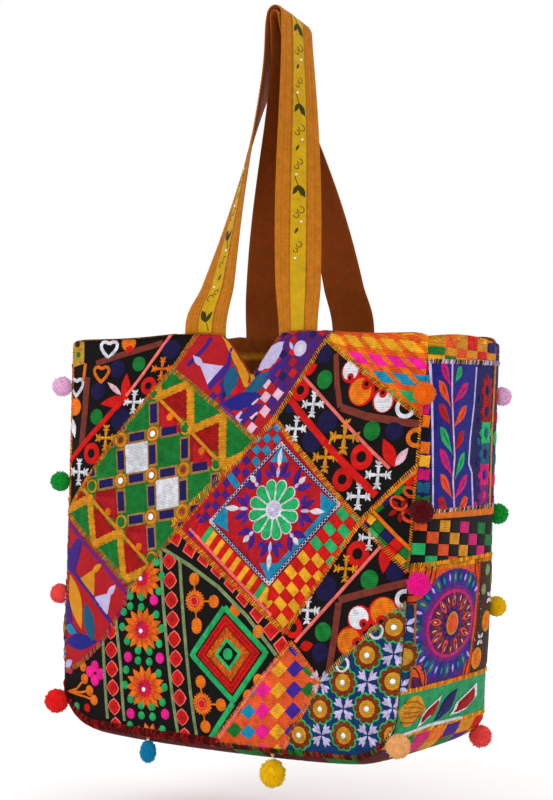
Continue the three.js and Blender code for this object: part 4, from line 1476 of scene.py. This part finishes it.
def sew_top_checks(patch):
    rows = ["dfdrdnn", "dfdrdnn", "dfdrdnn", "gdfdrdn", "ygdfdfr"]
    patch.checks((-84, -12), (24, 0.8), (0, 7.4), rows, 0.96)


def sew_black_checks(patch):
    rows = ["fkdkmkgke", "kfkdkmkgk", "ekfkdkmkg", "kekfkdkmk"]
    patch.checks((-88, 165), (19.5, 1.6), (0, 11), rows, 0.96)
    patch.band("orange", 7, -90, 163, 90, 166, high=0.9)


def sew_foot(patch):
    patch.checks((-90, 364), (26, 0.5), (0, 14), ["dgmovdr", "vdmdgvd", "mvdgdmv"], 0.96)


# Band of a gusset: top and bottom, level, ground, sewing, threads of its seam.
GUSSET_HALF = 90
WARM_THREADS = ("orange", "gold", "yellow")
GUSSET_BANDS = {
    "checks_top": (-14, 24, 0, "orange", sew_top_checks, ()),
    "leaves": (24, 160, 1, "navy", sew_leaves, ("lilac", "tan", "umber")),
    "checks": (160, 212, 0, "black", sew_black_checks, WARM_THREADS),
    "ring": (208, 322, 1, "plum", sew_ring_band, WARM_THREADS),
    "shells": (322, 364, 2, "emerald", sew_shells, WARM_THREADS),
    "foot": (362, 410, 1, "gold", sew_foot, ()),
}


def gusset_pieces(name, end):
    surface = End(end)
    cloth = backing_piece(surface, f"{name}_cloth", np.linspace(-1, 1, 41), GUSSET_RIM)
    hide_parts(name)
    for key, (top, low, level, ground, sew, threads) in GUSSET_BANDS.items():
        sewing = Sewing(surface)
        box = (-GUSSET_HALF, top, GUSSET_HALF, top, GUSSET_HALF, low, -GUSSET_HALF, low)
        patch = Patch(sewing, box, level, ground, overlap=1.0)
        sew(patch)
        if threads:
            patch.seam(threads, 4.4, 2.0, skip=(1, 3))
        sewing.build(f"{name}_{key}", THREAD)


def base_pieces():
    surface = Base()
    ss, qs = np.linspace(-1, 1, 81), np.linspace(-1, 1, 31)
    grid = grid_points(ss, qs)
    points = surface.at(grid[:, 0], grid[:, 1], np.full(len(grid), -0.2))
    tints = np.tile(linear("maroon"), (len(grid), 1))
    faces = grid_faces(len(ss), len(qs))
    cloth = mesh_piece("base_cloth", points * MM, faces, tints, LINING, grid * [0.19, 0.1])
    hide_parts("base")
    sewing = Sewing(surface)
    rows = ["bbbbbbgbbgb", "bmbrbdmrdvg", "mvdgdrvdmgr", "rdgvmdrgvdm"]
    patch = Patch(sewing, (-186, -97, 186, -97, 186, 97, -186, 97), 0, "maroon", overlap=0.5)
    patch.checks((-186, -97), (33.8, 0), (0, 48.5), rows, 0.97)
    piece = sewing.build("base_patchwork", THREAD)


LINING_STITCHES = (0.945, 0.96)     # shares of the height between which the hem is stitched
PUCKER = 0.5
PUCKER_WAVES = (46, 31)


def lining_piece():
    """A cup inside the patchwork, open at the rim and stitched along its hem."""
    ts = np.concatenate([np.linspace(0.0, 0.9, 16), [0.93, 0.945, 0.955, 0.97, 0.985, 1.0]])[::-1]
    ss, qs = np.linspace(-1, 1, 61), np.linspace(-1, 1, 21)
    ring = [(s, -1.0) for s in ss] + [(1.0, q) for q in qs[1:]]
    ring += [(s, 1.0) for s in ss[-2::-1]] + [(-1.0, q) for q in qs[-2:0:-1]]
    points, tints = [], []
    for t in ts:
        for s, q in ring:
            one, height = np.array([s]), np.array([t])
            flank = abs(q) == 1
            if flank:
                p = panel_point("front" if q < 0 else "back", one, height)[0]
                p[1] -= q * LINING_AT
            else:
                p = gusset_point(int(s), np.array([q]), height)[0]
            if abs(s) == 1:
                p[0] -= s * LINING_AT
            pucker = PUCKER * math.sin(PUCKER_WAVES[0] * s + PUCKER_WAVES[1] * q) * min(1.0, 6 * (1 - t))
            p[1] -= q * pucker if flank else 0
            p[2] += LINING_AT * (1 - t) ** 8 - 1.0 * t
            points.append(p)
            low, high = LINING_STITCHES
            # Above the hem stitches the lining is painted lighter, as painted light near the mouth.
            tints.append(linear("gold") if low < t < high else linear("lining") * (1.15 if t > high else 1.0))
    fs, fq = np.linspace(-0.96, 0.96, 25), np.linspace(-0.94, 0.94, 13)
    faces = grid_faces(len(ts), len(ring), closed=True)
    faces += grid_faces(len(fs), len(fq), len(points), turned=True)
    for s in fs:
        for q in fq:
            p = base_point(np.array([s]), np.array([q]))[0]
            p[2] += LINING_AT
            points.append(p)
            # The cup's floor is painted darker, as painted shade deep inside the bag.
            tints.append(linear("lining") * 0.9)
    piece = mesh_piece("lining_cup", np.array(points) * MM, faces, np.array(tints), LINING)
    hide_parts("lining")


SEAM_ROWS = (20.4, 16.4, 12.4, 8.6)     # rows of stitches, from the strap's middle line
STRAP_ENDS = 30                         # length of strap without ribbon at each end
PRINT_REPEAT = 84


def strap_band(surface, side):
    """A padded band with a dent along each row of stitches. Its inner face is painted darker, as painted
    shade.
    """
    half = STRAP_WIDTH / 2 - 0.4
    across = np.linspace(-half, half, 47)
    dent = sum(0.28 * np.exp(-((np.abs(across) - row) / 0.7) ** 2) for row in SEAM_ROWS)
    edge = np.sqrt(np.clip(1 - (np.abs(across) / (half + 0.3)) ** 14, 0.02, 1))
    ring_u = np.concatenate([across, across[::-1]])
    ring_lift = np.concatenate([STRAP_HALF_WALL * edge - dent, -(STRAP_HALF_WALL * edge - 0.5 * dent)[::-1]])
    runs = np.linspace(0, surface.length, 190)
    n = len(ring_u)
    u, v = np.tile(ring_u, len(runs)), np.repeat(runs, n)
    points = surface.place(u, v, np.tile(ring_lift, len(runs)))
    faces = grid_faces(len(runs), n, closed=True)
    faces += [list(range(n))[::-1], [(len(runs) - 1) * n + i for i in range(n)]]
    inner = np.arange(n) >= len(across)
    # The inner face takes the darker strap colour, as painted shade.
    shade = np.where(inner[:, None], linear("strap_back"), linear("strap"))
    return mesh_piece(f"strap_{side}_band", points * MM, faces, np.tile(shade, (len(runs), 1)), COTTON,
                      np.stack([u, v], -1) * MM)


def strap_stitches(surface, side):
    threads = Sewing(surface)
    for row in SEAM_ROWS:
        for hand in (-1, 1):
            for start in np.arange(26, surface.length - 26, 4.2):
                threads.stitch((hand * row, start), (hand * row, start + 3), 0.8,
                               "strap", STRAP_HALF_WALL - 0.25, STRAP_HALF_WALL + 0.25)
    return threads.build(f"strap_{side}_stitches", THREAD)


def strap_ribbon(surface, side, reach):
    """A printed ribbon: a stalk with a large and a small leaf, then curls and sequins, over and over."""
    ribbon = Sewing(surface)
    low = STRAP_HALF_WALL + 0.35
    half = RIBBON_HALF
    ribbon.field(pairs((-half, STRAP_ENDS, half, STRAP_ENDS, half, reach, -half, reach)), "ribbon", low, 4.0)
    for hand in (-1, 1):
        ribbon.ridge(pairs((hand * half, STRAP_ENDS, hand * half, reach)), 1.0, "ochre", low - 0.3, low + 0.2)
    spots = []
    for start in np.arange(40, reach - PRINT_REPEAT, PRINT_REPEAT):
        stalk = np.array([(4, start - 8), (1, start), (-2.5, start + 11)])
        ribbon.ridge(stalk, 0.9, "olive", low, low + 0.25, 2.0)
        # Leaf: foot along the strap, tip across and along, width.
        for foot, tip_u, tip_v, wide in ((0, -6.4, 12, 6.4), (0, 6, 11, 4.4), (43, 3.5, 50, 2.4)):
            leaf = petal_outline((0, start + foot), (tip_u, start + tip_v), wide)
            ribbon.blob(leaf, "olive", low, low + 0.3, 0.05)
        for middle, size, shift in ((-2.4, 3.4, 25), (2.2, 2.6, 31), (-1, 2.8, 60), (2.4, 2.2, 66)):
            curl = disc(middle, start + shift, size, 9)[:8]
            ribbon.ridge(curl, 0.8, "olive", low, low + 0.25, 2.0)
        spots += [(-3, start + 37, 1.2), (2.5, start + 74, 1.2)]
    piece = ribbon.build(f"strap_{side}_ribbon_print", SATIN)
    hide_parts(f"strap_{side}_ribbon")
    sequins = sew_mirror_discs(surface, f"strap_{side}_sequins", spots, low)


def strap_pieces(side):
    surface = Strap(side)
    strap = strap_band(surface, side)
    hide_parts(f"strap_{side}")
    stitches = strap_stitches(surface, side)
    strap_ribbon(surface, side, surface.length - STRAP_ENDS)


# Pompom: name, panel, s, t, radius, tall, stem, push x, y and z, wool colour, slot.
POMPOMS = [
    ("front_left_1", "front", -1, 0.887, 10, 1, 0, -0.8, -0.5, 0, "light_pink", "wool_light_pink"),
    ("front_left_2", "front", -1, 0.632, 10, 1, 0, -1, -0.3, 0, "wool_green", "wool_green"),
    ("front_left_3", "front", -1, 0.333, 10, 1, 0, -0.7, 0.1, 0, "wool_coral", "wool_coral"),
    ("front_left_4", "front", -0.97, 0, 12, 1, 0, -0.9, -0.4, 0, "wool_red", "wool_red"),
    ("front_base_1", "front", -0.438, 0, 8, 1.4, 4, 0, 0, 0, "wool_blue", "wool_blue"),
    ("front_base_2", "front", 0.325, 0, 12, 1.1, 7, 0, 0, 0, "wool_yellow", "wool_yellow"),
    ("front_right_1", "front", 1, 0.867, 10, 1, 0, 0.5, -0.9, 0, "wool_orange", "wool_orange"),
    ("front_right_2", "front", 1, 0.588, 11, 1, 0, 1, -0.5, 0, "wool_maroon", "wool_maroon"),
    ("front_right_3", "front", 1, 0.419, 10.5, 1, 0, 1, -0.05, 0, "wool_pink", "wool_hot_pink"),
    ("front_right_4", "front", 0.97, 0, 11, 1, 0, 0.9, -0.1, -0.6, "peach", "wool_peach"),
    ("back_right_1", "back", 1, 0.867, 9, 1, 0, 0.25, 1, 0, "light_pink", "wool_light_pink"),
    ("back_right_2", "back", 1, 0.559, 10, 1, 0, 0.25, 1, 0, "wool_green", "wool_green"),
    ("back_right_3", "back", 1, 0.321, 10, 1, 0, 0.5, 0.9, 0, "wool_yellow", "wool_yellow"),
    ("back_right_4", "back", 0.97, 0, 11, 1, 0, 0.2, 0.1, -0.9, "wool_coral", "wool_coral"),
    ("back_base_1", "back", 0.35, 0, 10, 1.1, 5, 0, 0, 0, "wool_blue", "wool_blue"),
    ("back_base_2", "back", -0.38, 0, 11, 1.1, 5, 0, 0, 0, "wool_orange", "wool_orange"),
    ("back_left_1", "back", -1, 0.87, 10, 1, 0, -0.7, 0.7, 0, "wool_pink", "wool_hot_pink"),
    ("back_left_2", "back", -1, 0.6, 10, 1, 0, -0.7, 0.7, 0, "wool_yellow", "wool_yellow"),
    ("back_left_3", "back", -1, 0.34, 10, 1, 0, -0.7, 0.7, 0, "wool_green", "wool_green"),
    ("back_left_4", "back", -0.97, 0, 11, 1, 0, -0.7, 0.6, 0, "wool_red", "wool_red"),
]
STRANDS = 1300
STRAND_SPREAD = 0.09
STRAND_FOOT = 0.86     # shares of the pompom's radius
STRAND_REACH = 0.93
STRAND_UNEVEN = 0.1
STRAND_THICK = 0.062
HEART = 0.93
STRAND_TURNS = np.array([0, 2.1, 4.2])[:, None]
STRAND_FACES = ((0, 1, 4, 3), (1, 2, 5, 4), (2, 0, 3, 5), (3, 4, 5))
PIECE_GAP = 0.3
BEAD_RADIUS = 1.9


def ball_points(count):
    k = np.arange(count) + 0.5
    z = 1 - 2 * k / count
    turn = np.pi * (1 + 5 ** 0.5) * k
    flat = np.sqrt(1 - z * z)
    return np.stack([flat * np.cos(turn), flat * np.sin(turn), z], -1)


def ball(radii, start, rings, count, cap):
    """Points of a ball with a small flat cap at each end, and its faces, numbered from start."""
    around = np.linspace(0, 2 * np.pi, count, endpoint=False)
    a, b = grid_points(np.linspace(cap, np.pi - cap, rings), around).T
    points = np.stack([np.sin(a) * np.cos(b), np.sin(a) * np.sin(b), np.cos(a)], -1) * radii
    first, last = range(start, start + count), range(start + (rings - 1) * count, start + rings * count)
    return points, grid_faces(rings, count, start, True, True) + [list(first), list(last)[::-1]]


def pompom_piece(name, panel, s, t, radius, tall, stem, push_x, push_y, push_z, colour, slot):
    """Clipped wool: a full heart under strands of uneven length."""
    foot = panel_point(panel, np.array([float(s)]), np.array([float(t)]))[0]
    stretch = np.array([1, 1, tall])
    if stem:
        foot[1] -= MOUTHS[panel]["sign"] * 1.2
        centre = foot - [0, 0, PIECE_GAP + stem + radius * tall * 0.95]
    else:
        push = np.array([push_x, push_y, push_z])
        centre = foot + unit(push) * (radius + PIECE_GAP)
    noise = np.random.default_rng(int(1000 * abs(s + 2) + 100 * t + 7 * radius))
    ways = ball_points(STRANDS)
    ways = ways + noise.normal(0, STRAND_SPREAD, ways.shape)
    ways /= np.linalg.norm(ways, axis=-1, keepdims=True)
    side = np.cross(ways, noise.normal(0, 1, ways.shape))
    side /= np.linalg.norm(side, axis=-1, keepdims=True)
    other = np.cross(ways, side)
    reach = radius * (STRAND_REACH + STRAND_UNEVEN * noise.random(STRANDS))
    lean = noise.normal(0, 0.08 * radius, ways.shape)
    base = ways * radius * STRAND_FOOT
    tip = ways * reach[:, None] + lean * 0.6
    thick = STRAND_THICK * radius
    tone = linear(colour)
    around = side[:, None] * np.cos(STRAND_TURNS) + other[:, None] * np.sin(STRAND_TURNS)
    strands = np.concatenate([base[:, None] + around * thick, tip[:, None] + around * thick * 0.5], 1)
    tints = np.tile(tone, (STRANDS, 6, 1))
    # Strand tips are painted up to a quarter lighter than their feet, as painted light against the shade
    # between strands.
    tints[:, 3:] *= noise.uniform(1.0, 1.25, (STRANDS, 3))[..., None]
    faces = [[6 * k + i for i in face] for k in range(STRANDS) for face in STRAND_FACES]
    heart, heart_faces = ball(radius * HEART, 6 * STRANDS, 10, 18, 0.05)
    points = np.concatenate([strands.reshape(-1, 3), heart]) * stretch + centre
    tints = np.concatenate([tints.reshape(-1, 3), np.tile(tone, (len(heart), 1))])
    piece = mesh_piece(f"wool_{name}", points * MM, faces + heart_faces, np.clip(tints, 0, 1), WOOL)
    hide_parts(f"pompom_{name}")
    if stem:
        bead_stem(name, foot, stem)


def bead_stem(name, foot, stem):
    """Two seed beads on the thread between the bag and the wool."""
    half = stem / 4
    points, faces, tints = [], [], []
    for colour in ("brass", "white"):
        bead, bead_faces = ball((BEAD_RADIUS, BEAD_RADIUS, half), len(points), 7, 12, 0.06 * np.pi)
        middle = foot - [0, 0, PIECE_GAP + half + 2 * half * (len(points) > 0)]
        points += list(bead + middle)
        faces += bead_faces
        tints += [linear(colour)] * len(bead)
    mesh_piece(f"beads_{name}", np.array(points) * MM, faces, np.array(tints), BEAD)


for side in ("front", "back"):
    panel_pieces(side)
    strap_pieces(side)
gusset_pieces("gusset_right", 1)
gusset_pieces("gusset_left", -1)
base_pieces()
lining_piece()
for row in POMPOMS:
    pompom_piece(*row)


# Camera at the photograph's height and distance, level, turned a little left of the bag.
CAMERA_TURN = math.radians(32.42)
CAMERA_LOOK = CAMERA_TURN + math.radians(0.41)
CAMERA_AWAY = 1.796
CAMERA_Z = -0.376
CAMERA_LENS = 81.2
camera_data = bpy.data.cameras.new("camera")
camera_data.lens = CAMERA_LENS
camera_data.sensor_width = 36
camera = bpy.data.objects.new("camera", camera_data)
camera.location = (CAMERA_AWAY * math.sin(CAMERA_TURN), -CAMERA_AWAY * math.cos(CAMERA_TURN), CAMERA_Z)
camera.rotation_euler = (math.radians(90), 0, CAMERA_LOOK)
bpy.context.scene.collection.objects.link(camera)
bpy.context.scene.camera = camera


def add_light(name, place, target, size, power):
    data = bpy.data.lights.new(name, "AREA")
    data.size = size
    data.energy = power
    light = bpy.data.objects.new(name, data)
    light.location = place
    light.rotation_euler = (Vector(target) - Vector(place)).to_track_quat("-Z", "Y").to_euler()
    bpy.context.scene.collection.objects.link(light)


BAG_MIDDLE = (0, 0, -0.45)
add_light("key", (-0.5, -2.4, 0.9), BAG_MIDDLE, 1.4, 14)
add_light("fill", (2.4, -1.2, 0.2), BAG_MIDDLE, 1.6, 4)
add_light("back", (0.4, 2.4, 0.8), BAG_MIDDLE, 1.8, 12)

world = bpy.data.worlds.new("studio")
world.use_nodes = True
world.node_tree.nodes["Background"].inputs["Color"].default_value = (1, 1, 1, 1)
world.node_tree.nodes["Background"].inputs["Strength"].default_value = 1.0
bpy.context.scene.world = world

floor_mesh = bpy.data.meshes.new("floor")
FLOOR_HALF = 4.0
FLOOR_Z = -0.80
corners = [(-1, -1), (1, -1), (1, 1), (-1, 1)]
floor_mesh.from_pydata([(x * FLOOR_HALF, y * FLOOR_HALF, FLOOR_Z) for x, y in corners], [], [[0, 1, 2, 3]])
floor = bpy.data.objects.new("floor", floor_mesh)
floor_material = bpy.data.materials.new("floor_paper")
floor_material.use_nodes = True
floor_shader = floor_material.node_tree.nodes["Principled BSDF"]
floor_shader.inputs["Base Color"].default_value = (0.99, 0.99, 0.99, 1)
floor_shader.inputs["Roughness"].default_value = 0.9
floor_mesh.materials.append(floor_material)
bpy.context.scene.collection.objects.link(floor)

bpy.context.scene.view_settings.view_transform = "Standard"
